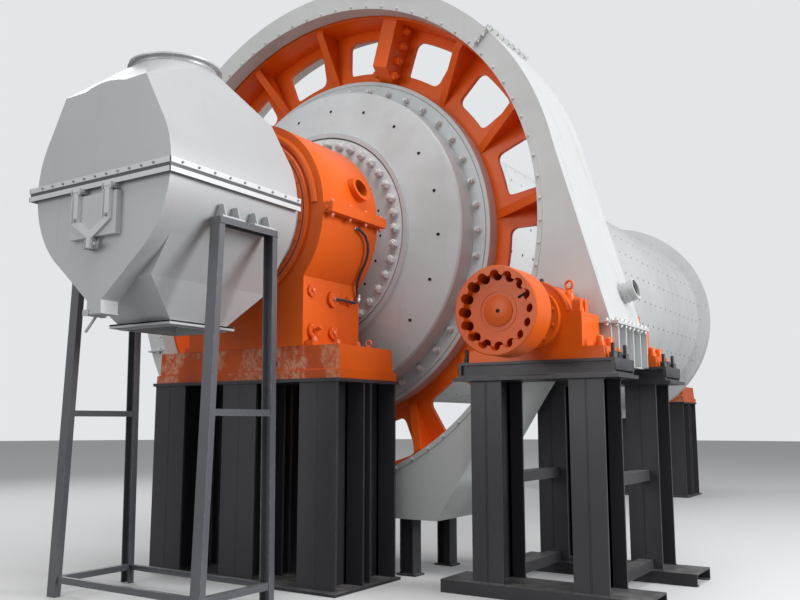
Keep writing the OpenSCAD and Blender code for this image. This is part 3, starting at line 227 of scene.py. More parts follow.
def joined(*parts):
    """One mesh of many copies: each part is a shape and the matrices of its places."""
    form = bmesh.new()
    for shape, places in parts:
        mesh = bpy.data.meshes.new("copy")
        shape.to_mesh(mesh)
        shape.free()
        for place in places:
            first = len(form.verts)
            form.from_mesh(mesh)
            form.verts.ensure_lookup_table()
            bmesh.ops.transform(form, matrix=place, verts=form.verts[first:])
        bpy.data.meshes.remove(mesh)
    return form


def stand(spot, z_way=(0, 0, 1), x_way=(1, 0, 0)):
    """Matrix that puts a shape at a spot, its Z along one direction and its X near another."""
    z = Vector(z_way).normalized()
    y = z.cross(Vector(x_way)).normalized()
    turn = Matrix((y.cross(z), y, z)).transposed().to_4x4()
    return Matrix.Translation(spot) @ turn


def prism(section, length):
    """A section of x and y points, extruded along Z."""
    form = bmesh.new()
    face = form.faces.new([form.verts.new((x, y, 0.0)) for x, y in section])
    made = bmesh.ops.extrude_face_region(form, geom=[face])
    moved = [part for part in made["geom"] if isinstance(part, bmesh.types.BMVert)]
    bmesh.ops.translate(form, vec=(0.0, 0.0, length), verts=moved)
    return form


def seam(lines, size):
    """Weld beads: each line is a start, an end and the two ways that face out of the corner."""
    parts = []
    for start, end, out, up in lines:
        start, end = Vector(start), Vector(end)
        if (end - start).cross(Vector(out)).dot(Vector(up)) < 0:
            start, end = end, start
        section = [(-size / 4, -size / 4), (size, 0), (0.62 * size, 0.62 * size), (0, size)]
        parts.append((prism(section, (end - start).length), [stand(start, end - start, out)]))
    return joined(*parts)


def beam_welds(x, y, half, flange, web, foot, head):
    """For an upright H-beam: places of its root fillets, and the weld lines round its two ends."""
    roots, lines = [], []
    edge_y, inner_y = half[1], half[1] - flange
    for sx in (-1, 1):
        for sy in (-1, 1):
            low, up = Vector((x + sx * web / 2, y + sy * inner_y, foot)), Vector((0, 0, 1))
            if sx * sy > 0:
                low, up = low + (head - foot) * up, -up
            roots.append(stand(low, up, (sx, 0, 0)))
    for sy in (-1, 1):
        for z, up in ((foot, (0, 0, 1)), (head, (0, 0, -1))):
            y0, y1 = y + sy * inner_y, y + sy * edge_y
            lines.append(((x - half[0], y1, z), (x + half[0], y1, z), (0, sy, 0), up))
            for sx in (-1, 1):
                tip = x + sx * half[0]
                lines.append(((tip, y0, z), (tip, y1, z), (sx, 0, 0), up))
    return roots, lines


# the mill's axis, and the feed bearing's place along it; the discharge bearing is at 0
drum_axis = next(joint for joint in frame["joints"] if joint["name"] == "drum_spin")["pos_m"]
AXIS_Z = drum_axis[2]
FEED_Y = 2 * drum_axis[1]

dark_paint = paint(
    "pedestal_paint", (0.036, 0.035, 0.042), (0.023, 0.022, 0.027), 0.46, dust=0.4, runs=0.35,
    chips=((0.15, 0.15, 0.16), 0.5), gloss=0.1,
)
dress(dark_paint, "discharge_pedestal_plates", "discharge_pedestal_columns")
dress(dark_paint, "feed_pedestal_plates", "feed_pedestal_columns")
beam_low, beam_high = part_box("discharge_pedestal_columns")
beam_spacing_x, beam_offset_y = 0.89, 0.24
roots, beads = [], []
for bearing_y in (0.0, FEED_Y):
    for x in (-beam_spacing_x, 0.0, beam_spacing_x):
        for y in (bearing_y - beam_offset_y, bearing_y + beam_offset_y):
            beam_roots, beam_beads = beam_welds(
                x, y, half=(0.200, 0.200), flange=0.021, web=0.013, foot=beam_low.z, head=beam_high.z
            )
            roots += beam_roots
            beads += beam_beads
fillet = [(0.0, 0.0), (0.022, 0.0), (0.010, -0.003), (0.003, -0.010), (0.0, -0.022)]
root_fillet = prism(fillet, beam_high.z - beam_low.z)
settle(joined((root_fillet, roots)), "pedestal_root_fillets", dark_paint)
settle(seam(beads, 0.009), "pedestal_weld_beads", dark_paint)

# Sole boxes: heavy castings filled and sprayed orange, rubbed pale on their front faces,
# with a lifting eye screwed into each end of the top.


def turned(profile, sides, sweep=math.tau):
    """The shape that a profile of radius and height sweeps round Z."""
    form = bmesh.new()
    line = [form.verts.new((r, 0.0, z)) for r, z in profile]
    edges = [form.edges.new(pair) for pair in zip(line, line[1:])]
    bmesh.ops.spin(
        form, geom=line + edges, cent=(0, 0, 0), axis=(0, 0, 1), dvec=(0, 0, 0), angle=sweep,
        steps=sides, use_merge=sweep == math.tau, use_duplicate=False,
    )
    bmesh.ops.remove_doubles(form, verts=form.verts, dist=1e-6)
    return form


def hoop(radius, wire):
    """A ring of round bar about Z."""
    sides = 8
    turns = [math.tau * i / sides for i in range(sides + 1)]
    return turned([(radius + wire * math.cos(a), wire * math.sin(a)) for a in turns], 24)


def orange(name, colour=(0.72, 0.112, 0.005), shade=(0.58, 0.078, 0.003), extra=None, scale=1.0):
    """Sprayed orange enamel over filler, darker where it is thin."""
    return paint(
        name, colour, shade, 0.33, dust=0.07, runs=0.2, chips=((0.34, 0.09, 0.035), 0.6), gloss=0.10,
        scale=scale, extra=extra, level=0.3,
    )


def rubbed(tone, noise, base, normal):
    """Pale patches on the long faces, where grinding dust was wiped across the paint."""
    facing = base.math("ABSOLUTE", base.node("SeparateXYZ", {0: normal}, "Y"))
    blotch = noise(3.2, 5.0, (1.0, 1.0, 0.8), 0.6).step(0.44, 0.53)
    fine = noise(24.0, 6.0, rough=0.7).step(0.36, 0.62)
    tone = (facing.step(0.7, 0.95) * noise(1.3).step(0.4, 0.6) * 0.45).mix(tone, (0.34, 0.040, 0.007))
    return (facing.step(0.7, 0.95) * blotch * fine * 0.85).mix(tone, (0.66, 0.31, 0.20))


sole_paint = orange("sole_paint", (0.64, 0.098, 0.006), (0.48, 0.066, 0.004), rubbed)
dress(sole_paint, "discharge_sole", "feed_sole")
sole_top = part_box("discharge_sole")[1].z
eye_x, eye_y = 1.04, 0.084
eye_foot = [(0.0, 0.0), (0.020, 0.0), (0.020, 0.006), (0.011, 0.012), (0.010, 0.02)]
eye = joined((hoop(0.026, 0.009), [stand((0, 0, 0.036), (0, 1, 0))]), (turned(eye_foot, 12), [Matrix()]))
eyes = [stand((s * eye_x, y, sole_top)) for s in (-1, 1) for y in (eye_y, FEED_Y - eye_y)]
settle(joined((eye, eyes)), "sole_lifting_eyes", sole_paint)
# the weld line where the sole's long walls rise from its foot plate
wall_x, wall_y, foot_top = 1.086, 0.400, 1.817
foot_lines = []
for y, out in ((-wall_y, -1), (wall_y, 1), (FEED_Y - wall_y, -1), (FEED_Y + wall_y, 1)):
    foot_lines.append(((-wall_x, y, foot_top), (wall_x, y, foot_top), (0, out, 0), (0, 0, 1)))
settle(seam(foot_lines, 0.011), "sole_foot_welds", sole_paint)

# Main bearings: cast housings in two halves, bolted at the split flange, with bosses and
# plugs on the block sides, an oil port on the cap, all sprayed orange after assembly.


def in_place(*shapes):
    """One mesh of shapes that already stand where they belong."""
    return joined(*((shape, [Matrix()]) for shape in shapes))


def bolt(across, height, washer=0.0, stud=0.0):
    """A hexagon head or nut, on a washer and with the end of its stud where these are given."""
    r = across / math.sqrt(3)
    low = 0.1 * across if washer else 0.0
    high = low + height
    head = turned([(0, high), (0.82 * r, high), (r, high - 0.14 * height), (r, low)], 6)
    shapes = [head]
    if washer:
        w = washer / 2
        shapes.append(turned([(0.7 * r, low), (w - 0.3 * low, low), (w, 0.6 * low), (w, 0)], 16))
    if stud:
        w, top = stud / 2, high + 0.45 * stud
        shapes.append(turned([(0, top), (0.8 * w, top), (w, top - 0.2 * w), (w, high)], 10))
    return in_place(*shapes)


def box(low, high, bevel=0.0, steps=1):
    """A box between two corners, with all its edges rounded by bevel."""
    form = bmesh.new()
    size = [b - a for a, b in zip(low, high)]
    middle = Matrix.Translation([(a + b) / 2 for a, b in zip(low, high)])
    bmesh.ops.create_cube(form, size=1.0, matrix=middle @ Matrix.Diagonal((*size, 1.0)))
    if bevel:
        edges = form.edges[:]
        bmesh.ops.bevel(
            form, geom=edges, offset=bevel, segments=steps, profile=0.5, affect="EDGES", material=-1
        )
    return form


def cos_sin(degrees):
    """The cosine and the sine of an angle."""
    return math.cos(math.radians(degrees)), math.sin(math.radians(degrees))


def both_ends(spots):
    """The same places at the discharge end and, mirrored, at the feed end."""
    return [
        stand((x, FEED_Y - y if far else y, z), (a, -b if far else b, c), way)
        for far in (False, True) for (x, y, z), (a, b, c), way in spots
    ]


housing_paint = orange("housing_paint")
dress(housing_paint, "discharge_bearing_base", "discharge_bearing_cap")
dress(housing_paint, "feed_bearing_base", "feed_bearing_cap")
bolt_paint = orange("bolt_paint", (0.80, 0.22, 0.10), (0.66, 0.12, 0.04), scale=6.0)
flange_thick = 0.046
split_x, split_y = 0.953, (-0.353, -0.1, 0.14, 0.375)
foot_x, foot_y = 0.742, (-0.31, 0.02, 0.33)
up, down, ahead = (0, 0, 1), (0, 0, -1), (1, 0, 0)
above = [((s * split_x, y, AXIS_Z + flange_thick), up, ahead) for s in (-1, 1) for y in split_y]
below = [((s * split_x, y, AXIS_Z - flange_thick), down, ahead) for s in (-1, 1) for y in split_y]
feet = [((s * foot_x, y, sole_top + flange_thick), up, ahead) for s in (-1, 1) for y in foot_y]
block_side = 0.690
# each round boss: its y and z, its radius, and how far it stands out of the block's side
bosses = [(-0.300, 2.525, 0.056, 0.018), (-0.004, 2.479, 0.075, 0.030), (0.251, 2.491, 0.052, 0.018),
          (-0.275, 2.174, 0.075, 0.026), (0.003, 2.175, 0.059, 0.022)]
plugs, screws = [], []
for s in (-1, 1):
    for y, z, r, reach in bosses:
        x = s * (block_side + reach)
        plugs.append(((x, y, z), (s, 0, 0), up))
        for k in range(4):
            over, rise = cos_sin(45 + 90 * k)
            spot = (x, y + 0.72 * r * over, z + 0.72 * r * rise)
            screws.append((spot, (s, 0, 0), up))
settle(joined(
    (bolt(0.036, 0.024, 0.05, 0.020), both_ends(above)),
    (bolt(0.036, 0.022, 0.05, 0.022), both_ends(below)),
    (bolt(0.046, 0.028, 0.066, 0.026), both_ends(feet)),
    (bolt(0.034, 0.016, 0.044), both_ends(plugs)),
    (bolt(0.015, 0.009), both_ends(screws)),
), "bearing_housing_bolts", bolt_paint)

# a round lug at each corner under the split, and a pipe stub on the lower front boss
lugs = [((s * 0.93, y, 3.21), (0, b, 0), up) for s in (-1, 1) for y, b in ((-0.412, -1), (0.412, 1))]
lug = [(0, 0.012), (0.018, 0.012), (0.022, 0.008), (0.022, 0)]
stub = [(0.0, 0.075), (0.014, 0.075), (0.019, 0.070), (0.019, 0.012), (0.026, 0.010), (0.026, 0.0)]
stubs = [((s * 0.716, -0.275, 2.174), (s, 0, 0.3), (0, 1, 0)) for s in (-1, 1)]
settle(joined((turned(lug, 16), both_ends(lugs)), (turned(stub, 14), both_ends(stubs))),
       "bearing_lugs_and_stubs", housing_paint)

# the strainer down in each oil port: woven wire on a dark backing
mesh_paint = paint("strainer_mesh", (0.11, 0.050, 0.022), (0.06, 0.028, 0.014), 0.6, dust=0.0, scale=4.0)
port_reach, port_y = 0.87, 0.135
c, s = cos_sin(18)
port = [((port_reach * c, port_y, AXIS_Z + port_reach * s), (c, 0, s), (0, 1, 0))]
backing_r, mesh_r, wire_half, wire_pitch = 0.084, 0.083, 0.0016, 0.012
grid = [(turned([(0, 0.0), (backing_r, 0.0)], 24), [Matrix()])]
for k in range(-6, 7):
    half = math.sqrt(mesh_r ** 2 - (wire_pitch * k) ** 2)
    for turn in (0.0, math.pi / 2):
        spin = Matrix.Rotation(turn, 4, "Z") @ stand((0.0, wire_pitch * k, 0.002))
        grid.append((box((-half, -wire_half, 0.0), (half, wire_half, 0.003)), [spin]))
settle(joined((joined(*grid), both_ends(port))), "port_strainers", mesh_paint)

# Seal rings: a turned ring closes the outer end of each housing, held by small screws; a thin
# near-black ring is painted shade in the gap between it and the housing.
seal_paint = orange("seal_paint", (0.70, 0.104, 0.005), (0.55, 0.070, 0.003))
dress(seal_paint, "discharge_seal_ring", "feed_seal_ring")
ring_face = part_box("discharge_seal_ring")[0].y
screw_circle = 0.668
ring_screws = []
for k in range(24):
    c, s = cos_sin(7.5 + 15 * k)
    spot = (screw_circle * c, ring_face, AXIS_Z + screw_circle * s)
    ring_screws.append((spot, (0, -1, 0), (c, 0, s)))
settle(joined((bolt(0.020, 0.011, 0.026), both_ends(ring_screws))), "seal_ring_screws", housing_paint)
# a thin near-black ring laid over the gap: painted shade where the gap lies in shadow
gap_shade_paint = paint("gap_shade_paint", (0.035, 0.022, 0.018), (0.02, 0.014, 0.012), 0.8, dust=0.0, scale=5.0)
gap = [(0.6955, 0.0), (0.6955, 0.0008), (0.706, 0.0008), (0.706, 0.0)]
settle(joined((turned(gap, 96), both_ends([((0, ring_face, AXIS_Z), (0, -1, 0), ahead)]))),
       "seal_gap_painted_shade", gap_shade_paint)

# Oil hose: black reinforced rubber that lies along the housing, from the split flange down
# to the block; its plated ends are screwed in, and a plated adapter sits at its lower bend.
hose_rubber = paint("hose_rubber", (0.040, 0.042, 0.050), (0.022, 0.022, 0.027), 0.5, dust=0.15, scale=6.0)
dress(hose_rubber, "lube_hose")


def metal(name, colour, rough, worn=0.5, scale=1.0):
    """Bare or plated steel: dull patches over a brighter ground, fine scratches in its finish."""
    made = bpy.data.materials.new(name)
    made.use_nodes = True
    shader = made.node_tree.nodes["Principled BSDF"]
    base = Shade(made.node_tree)
    place = base.node("TexCoord", output="Object")
    cloud = base.node("TexNoise", {"Vector": place, "Scale": 9.0 * scale, "Detail": 6.0}, "Fac")
    cloud = cloud.step(0.36, 0.68)
    fine = base.node("TexNoise", {"Vector": place, "Scale": 120.0 * scale, "Detail": 3.0}, "Fac")
    tone = (cloud * worn).mix(colour, [0.45 * v for v in colour])
    tone = ((1.0 - cloud) * fine.step(0.5, 0.8) * 0.4).mix(tone, (0.30, 0.24, 0.18))
    bump = base.node("Bump", {"Strength": 0.4, "Distance": 1.0, "Height": fine * 0.0004})
    finish = rough + 0.2 * cloud
    for key, value in (("Base Color", tone), ("Roughness", finish), ("Normal", bump)):
        made.node_tree.links.new(value.socket, shader.inputs[key])
    shader.inputs["Metallic"].default_value = 0.75
    return made


plated = metal("plated_steel", (0.46, 0.46, 0.47), 0.34, scale=3.0)
upper_end = stand((0.8975, 0.064, 3.1177), (1, 0, -0.113), (0, 1, 0))
lower_end = stand((0.7215, -0.004, 2.478), (1, 0, 0), (0, 1, 0))
adapter = stand((0.733, 0.345, 2.512), (0.06, 0.12, 1), (1, 0, 0))
crimp = [(0.0165, 0.012), (0.015, 0.010), (0.015, 0.0)]
sleeve = [(0.0135, 0.05), (0.018, 0.047), (0.018, -0.022), (0.0135, -0.025)]
settle(joined(
    (turned(crimp, 14), [upper_end, lower_end]),
    (bolt(0.034, 0.012), [upper_end, lower_end]),
    (turned(sleeve, 14), [adapter]),
    (bolt(0.038, 0.014), [adapter]),
), "hose_fittings", plated)

# Trunnions: hollow steel castings, turned on the journal, primed light grey on the neck and
# the flange; forty nuts on studs hold each flange to its head, with jacking holes between.
trunnion_paint = paint(
    "trunnion_primer", (0.70, 0.755, 0.78), (0.60, 0.65, 0.67), 0.42, dust=0.12, runs=0.35,
    chips=((0.22, 0.21, 0.20), 0.4), gloss=0.1,
)
dress(trunnion_paint, "discharge_trunnion", "feed_trunnion")
nut_paint = paint(
    "nut_primer", (0.68, 0.68, 0.675), (0.52, 0.515, 0.51), 0.32, dust=0.2, runs=0.5, scale=8.0,
    chips=((0.20, 0.15, 0.12), 0.8), gloss=0.15,
)


def round_axis(radius, y, count, start=0.0, way=(0.0, -1.0)):
    """Places round the mill axis at equal angles, facing along way: outward, along the axis."""
    spots = []
    out, along = way
    for k in range(count):
        c, s = cos_sin(start + k * 360.0 / count)
        spots.append(((radius * c, y, AXIS_Z + radius * s), (out * c, along, out * s), (-s, 0, c)))
    return spots


trunnion_face = 0.611
trunnion_nuts = round_axis(0.977, trunnion_face, 40)
settle(joined((bolt(0.074, 0.048, 0.108, 0.046), both_ends(trunnion_nuts))),
       "trunnion_flange_nuts", nut_paint, "drum")
# near-black paint for holes, bores and slots: painted shade where their insides lie in shadow
hole_shade_paint = paint("painted_hole_shade", (0.010, 0.010, 0.011), (0.006, 0.006, 0.007), 0.9, dust=0.0, scale=8.0)
hole_count, hole_start = 20, 14.4
# each jacking hole is a thin near-black disc on the flange face: painted shade
jacking_hole_shade_disc = turned([(0, 0.0008), (0.012, 0.0008), (0.0135, 0.0)], 14)
jacking_holes = round_axis(0.800, trunnion_face, hole_count, hole_start)
settle(joined((jacking_hole_shade_disc, both_ends(jacking_holes))), "jacking_holes", hole_shade_paint, "drum")

# Heads: cast end walls, filled, rubbed down and painted light grey; a ring of screw holes
# in the cone, and forty-two stud bolts through the head, the shell flange and the gear.


def cast_skin(tone, noise, base, normal):
    """Slight soiling in soft patches, on castings that were painted in place."""
    smear = noise(1.7, 5.0, (1.0, 1.0, 1.0), 0.6).step(0.48, 0.66)
    return (smear * 0.25).mix(tone, (0.36, 0.345, 0.33))


def light_grey(name, colour, shade, extra=None, runs=0.16):
    """Light grey enamel, sprayed over filler and a little soiled."""
    return paint(
        name, colour, shade, 0.38, dust=0.12, runs=runs, chips=((0.30, 0.29, 0.28), 0.4), gloss=0.12,
        extra=extra,
    )


head_paint = light_grey("head_paint", (0.54, 0.575, 0.585), (0.46, 0.495, 0.505), cast_skin)
dress(head_paint, "discharge_head", "feed_head")
# the studs stand half a pitch to either side of the girth gear's joint
GEAR_SPLIT = 71.835
stud_circle, stud_count, stud_start = 1.663, 42, GEAR_SPLIT + 4.286
head_flange_face = 1.001
head_nuts = round_axis(stud_circle, head_flange_face, stud_count, stud_start)
settle(joined((bolt(0.056, 0.040, 0.080, 0.036), both_ends(head_nuts))), "head_stud_nuts", nut_paint,
       "drum")
# each screw hole in the cone is a near-black disc of painted shade inside a raised rim
cone_square = (0.289, -0.957)
cone = both_ends(round_axis(1.384, 0.7237, hole_count, hole_start, cone_square))
settle(joined((turned([(0, 0.0010), (0.0165, 0.0010), (0.0175, 0.0)], 14), cone)),
       "head_hole_painted_shade", hole_shade_paint, "drum")
settle(joined((turned([(0.0165, 0.0006), (0.0195, 0.0024), (0.0225, 0.0)], 14), cone)),
       "head_hole_rims", head_paint, "drum")

# Shell: rolled plate, welded into one tube and drilled in straight rows for the liner
# bolts; each hole is a near-black disc of painted shade inside a small raised rim.
shell_paint = light_grey("shell_paint", (0.53, 0.54, 0.54), (0.45, 0.46, 0.46), runs=0.3)
dress(shell_paint, "shell")
SHELL_R = 1.6
row_count, row_start = 31, 8.7
hole_pitch, holes_middle, holes_each_way = 0.2675, 5.34, 15
rows = []
for k in range(row_count):
    c, s = cos_sin(row_start + k * 360.0 / row_count)
    for i in range(-holes_each_way, holes_each_way + 1):
        spot = (SHELL_R * c, holes_middle + hole_pitch * i, AXIS_Z + SHELL_R * s)
        rows.append(stand(spot, (c, 0, s), (0, 1, 0)))
settle(joined((turned([(0, 0.0014), (0.016, 0.0014), (0.017, 0.0)], 8), rows)),
       "liner_hole_painted_shade", hole_shade_paint, "drum")
settle(joined((turned([(0.016, 0.0012), (0.020, 0.0012), (0.0215, -0.001)], 8), rows)),
       "liner_hole_rims", shell_paint, "drum")
# weld seams: two round the shell and one along each of its three rings
bead = [(-0.011, -0.001), (-0.007, 0.0018), (0.0, 0.0028), (0.007, 0.0018), (0.011, -0.001)]
round_bead = turned([(SHELL_R + height, wide) for wide, height in bead], 128)
round_seams = [stand((0, y, AXIS_Z), (0, 1, 0)) for y in (4.0, 6.81)]
long_seams = []
for angle, y, length in ((52, 1.21, 2.78), (-62, 4.01, 2.79), (118, 6.82, 2.64)):
    c, s = cos_sin(angle)
    spot = (SHELL_R * c, y, AXIS_Z + SHELL_R * s)
    long_seams.append((prism(bead, length), [stand(spot, (0, 1, 0), (s, 0, -c))]))
settle(joined((round_bead, round_seams), *long_seams), "shell_weld_seams", shell_paint, "drum")
gear_back, feed_flange_back = 1.205, 9.467
toward_feed = (0.0, 1.0)
gear_nuts = round_axis(stud_circle, gear_back, stud_count, stud_start, toward_feed)
gear_nuts = [stand(*spot) for spot in gear_nuts]
settle(joined((bolt(0.056, 0.040, 0.0, 0.036), gear_nuts)), "gear_side_nuts", nut_paint, "drum")
# at the feed end the bolts are tapped through the flange, so only their ends show
bolt_ends = round_axis(stud_circle, feed_flange_back, stud_count, stud_start)
bolt_ends = [stand(*spot) for spot in bolt_ends]
bolt_end = turned([(0, 0.007), (0.015, 0.007), (0.019, 0.004), (0.019, -0.002)], 14)
settle(joined((bolt_end, bolt_ends)), "feed_flange_bolt_ends", shell_paint, "drum")

# Girth gear: cast in two halves with a ribbed web and windows, teeth cut round the rim;
# big bolts draw the joint flanges together, and the casting is orange all over.
gear_paint = orange("gear_paint", (0.82, 0.125, 0.006), (0.66, 0.085, 0.004), scale=1.2)
dress(gear_paint, "girth_gear_upper", "girth_gear_lower")
joint_flange, joint_bolt_y, joint_bolt_r, joint_bolt_pitch = 0.088, 1.025, 1.872, 0.159
clamps = []
for split in (GEAR_SPLIT, GEAR_SPLIT + 180):
    c, s = cos_sin(split)
    for k in range(4):
        r = joint_bolt_r + k * joint_bolt_pitch
        for side in (-1, 1):
            off = side * joint_flange
            spot = (r * c - off * s, joint_bolt_y, AXIS_Z + r * s + off * c)
            clamps.append(stand(spot, (-side * s, 0, side * c), (0, 1, 0)))
settle(joined((bolt(0.075, 0.048, 0.10, 0.046), clamps)), "gear_joint_bolts", gear_paint, "drum")

# Pinion and coupling: a forged pinion shaft; on its end the dished half of a pin coupling,
# orange, with its bore closed by a turned cap and a key slot.
dress(metal("cut_steel", (0.36, 0.36, 0.37), 0.36, 0.6), "pinion")
coupling_paint = orange("coupling_paint", (0.66, 0.098, 0.004), (0.54, 0.070, 0.003))
dress(coupling_paint, "coupling")
PINION_X, PINION_Z = 2.554, 2.2003
shaft_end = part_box("pinion")[0].y
centre = stand((PINION_X, shaft_end, PINION_Z), (0, -1, 0))
slot_place = stand((PINION_X + 0.19, shaft_end, PINION_Z + 0.10), (0, -1, 0), (1, 0, 0.5))
bore_cap = turned([(0, 0.012), (0.108, 0.012), (0.118, 0.006), (0.118, 0.0)], 48)
cap_ring = turned([(0.146, 0.0), (0.146, 0.004), (0.152, 0.004), (0.152, 0.0)], 48)
settle(joined((bore_cap, [centre]), (cap_ring, [centre])), "coupling_bore_cap", coupling_paint,
       "pinion_shaft")
# the centre hole and the key slot are near-black: painted shade in their recesses
centre_hole = turned([(0, 0.0135), (0.014, 0.0135), (0.016, 0.012)], 14)
key_slot = box((-0.030, -0.010, 0.0), (0.030, 0.010, 0.0015), 0.0005)
settle(joined((centre_hole, [centre]), (key_slot, [slot_place])), "coupling_centre_and_slot", hole_shade_paint,
       "pinion_shaft")

# Pinion bearings: split cast housings with end covers; nuts in the slots between the cap
# prongs, covers held by screws, an eyebolt on the shoulder and a black plug on top.
pinion_paint = orange("pinion_housing_paint")
dress(pinion_paint, "pinion_bearing_bases", "pinion_bearing_caps")
# each bearing's place along the shaft, and the way that its outer side faces
PINION_BEARINGS = ((0.418, -1), (1.762, 1))
cover_face, cover_circle, cover_screws = 0.257, 0.205, 10
cap_edges, cap_r, edge_start = (-0.193, -0.150, 0.150, 0.193), 0.309, 0.17
shoulder_x, shoulder_z, eye_z = 0.238, 0.184, 0.284
housing, foot_caps = [], []
for y, outward in PINION_BEARINGS:
    for s in (-1, 1):
        nut = stand((PINION_X + s * 0.364, y - 0.096, PINION_Z + 0.04))
        housing.append((bolt(0.050, 0.034, 0.062, 0.030), [nut]))
        for t in (-0.105, 0.105):
            foot_caps.append(stand((PINION_X + s * 0.52, y + t, 1.993)))
    for k in range(cover_screws):
        c, s = cos_sin(18 + k * 360 / cover_screws)
        spot = (PINION_X + cover_circle * c, y + outward * cover_face, PINION_Z + cover_circle * s)
        housing.append((bolt(0.024, 0.014), [stand(spot, (0, outward, 0), (c, 0, s))]))
    for edge in cap_edges:
        profile = [(cap_r - 0.011, -0.011), (cap_r, -0.008), (cap_r, 0.008), (cap_r - 0.011, 0.011)]
        arc = turned(profile, 40, math.pi - 2 * edge_start)
        lie = stand((PINION_X, y + edge, PINION_Z), (0, -1, 0))
        housing.append((arc, [lie @ Matrix.Rotation(edge_start, 4, "Z")]))
    boss = turned([(0, 0.058), (0.024, 0.058), (0.029, 0.053), (0.040, 0.006), (0.048, -0.04)], 18)
    housing.append((boss, [stand((PINION_X + shoulder_x, y, PINION_Z + shoulder_z))]))
    ring = stand((PINION_X + shoulder_x, y, PINION_Z + eye_z), (0.3, 1, 0))
    housing.append((hoop(0.034, 0.0105), [ring]))
settle(joined(*housing), "pinion_bearing_bolts_and_eyes", pinion_paint)
foot_cap = turned([(0, 0.060), (0.016, 0.059), (0.026, 0.053), (0.031, 0.042), (0.031, 0.0)], 20)
settle(joined((foot_cap, foot_caps)), "pinion_foot_caps", pinion_paint)
black = paint("black_oxide", (0.016, 0.016, 0.018), (0.010, 0.010, 0.011), 0.45, dust=0.1, scale=8.0)
plug = [(0, 0.034), (0.014, 0.034), (0.017, 0.030), (0.017, 0.012), (0.022, 0.010), (0.022, 0.0)]
cap_tops = [stand((PINION_X, y, PINION_Z + 0.322)) for y, outward in PINION_BEARINGS]
settle(joined((turned(plug, 14), cap_tops)), "pinion_cap_plugs", black)

# Pinion frame: welded H-columns on two floor rails, with braces, and a built-up sole under
# each bearing; black anchor studs, stop blocks, root fillets and weld beads.
frame_paint = paint(
    "frame_paint", (0.036, 0.035, 0.041), (0.024, 0.023, 0.028), 0.40, dust=0.35, runs=0.3,
    chips=((0.17, 0.17, 0.18), 0.5), gloss=0.15,
)
dress(frame_paint, "frame_columns", "frame_rails", "frame_braces", "pinion_soles")
frame_low, frame_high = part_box("frame_columns")
pinion_sole_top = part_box("pinion_soles")[1].z
sole_foot_x, sole_foot_y, sole_foot_top = 0.670, 0.225, 1.745
studs, blocks, roots, beads, end_plates = [], [], [], [], []
for y, outward in PINION_BEARINGS:
    for s in (-1, 1):
        for t in (-0.143, 0.143):
            studs.append(stand((PINION_X + s * 0.635, y + t, pinion_sole_top)))
            blocks.append(stand((PINION_X + s * 0.614, y + 0.35 * t, pinion_sole_top)))
        x0, x1 = sorted((PINION_X + s * 0.664, PINION_X + s * 0.680))
        end_plates.append(box((x0, y - 0.224, 1.774), (x1, y + 0.224, 1.8675), 0.006, 2))
        column_roots, column_beads = beam_welds(
            PINION_X + s * 0.43, y, half=(0.140, 0.205), flange=0.018, web=0.012,
            foot=frame_low.z, head=frame_high.z,
        )
        roots += column_roots
        beads += column_beads
    # each sole's foot is welded along its outer side
    left, right = PINION_X - sole_foot_x, PINION_X + sole_foot_x
    side = y + outward * sole_foot_y
    beads.append(((left, side, sole_foot_top), (right, side, sole_foot_top), (0, outward, 0), up))
settle(in_place(*end_plates), "sole_end_plates", frame_paint)
root_fillet = prism(fillet, frame_high.z - frame_low.z)
settle(joined((root_fillet, roots)), "frame_root_fillets", frame_paint)
settle(seam(beads, 0.010), "frame_weld_beads", frame_paint)
stud = turned([(0, 0.118), (0.014, 0.118), (0.017, 0.113), (0.017, 0.0)], 12)
settle(joined((stud, studs), (bolt(0.055, 0.040, 0.072), studs)), "frame_anchor_studs", black)
stop_block = box((-0.018, -0.035, 0.0), (0.018, 0.035, 0.060), 0.003)
settle(joined((stop_block, blocks)), "frame_stop_blocks", frame_paint)

# Gear guard: rolled and folded sheet over the gear, in three lengths, bolted at its joints
# and along the inner curb; a breather nozzle with three bands stands on the drive side.
guard_paint = light_grey("guard_paint", (0.52, 0.53, 0.525), (0.45, 0.46, 0.455), runs=0.25)
dress(guard_paint, "guard_top", "guard_side", "guard_bottom")
dress(dark_paint, "guard_legs")
curb_count, curb_start = 78, 6.8
guard_front, guard_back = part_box("guard_bottom")[0].y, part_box("guard_bottom")[1].y
curb = round_axis(2.455, guard_front, curb_count, curb_start)
curb += round_axis(2.480, guard_back, curb_count, curb_start, toward_feed)
curb = [stand(*spot) for spot in curb]
# the slanted joint between the top and side lengths: three bolts on its face, seven across
lap = 0.010
c, s = cos_sin(42)
slanted = []
for side in (-1, 1):
    face = [(r, 0.629) for r in (2.515, 2.585, 2.655)]
    for r, y in face + [(2.684, 0.70 + 0.12 * i) for i in range(7)]:
        spot = (r * c - side * lap * s, y, AXIS_Z + r * s + side * lap * c)
        slanted.append(stand(spot, (-side * s, 0, side * c), (0, 1, 0)))
# the level joint above the bottom length: bolts from above and below, on both sides and in front
guard_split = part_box("guard_side")[0].z
level = []


def pair(x, y, reach):
    """A bolt head on the upper face of the level joint and a nut under its lower face."""
    level.append(stand((x, y, guard_split + reach)))
    level.append(stand((x, y, guard_split - reach), down))


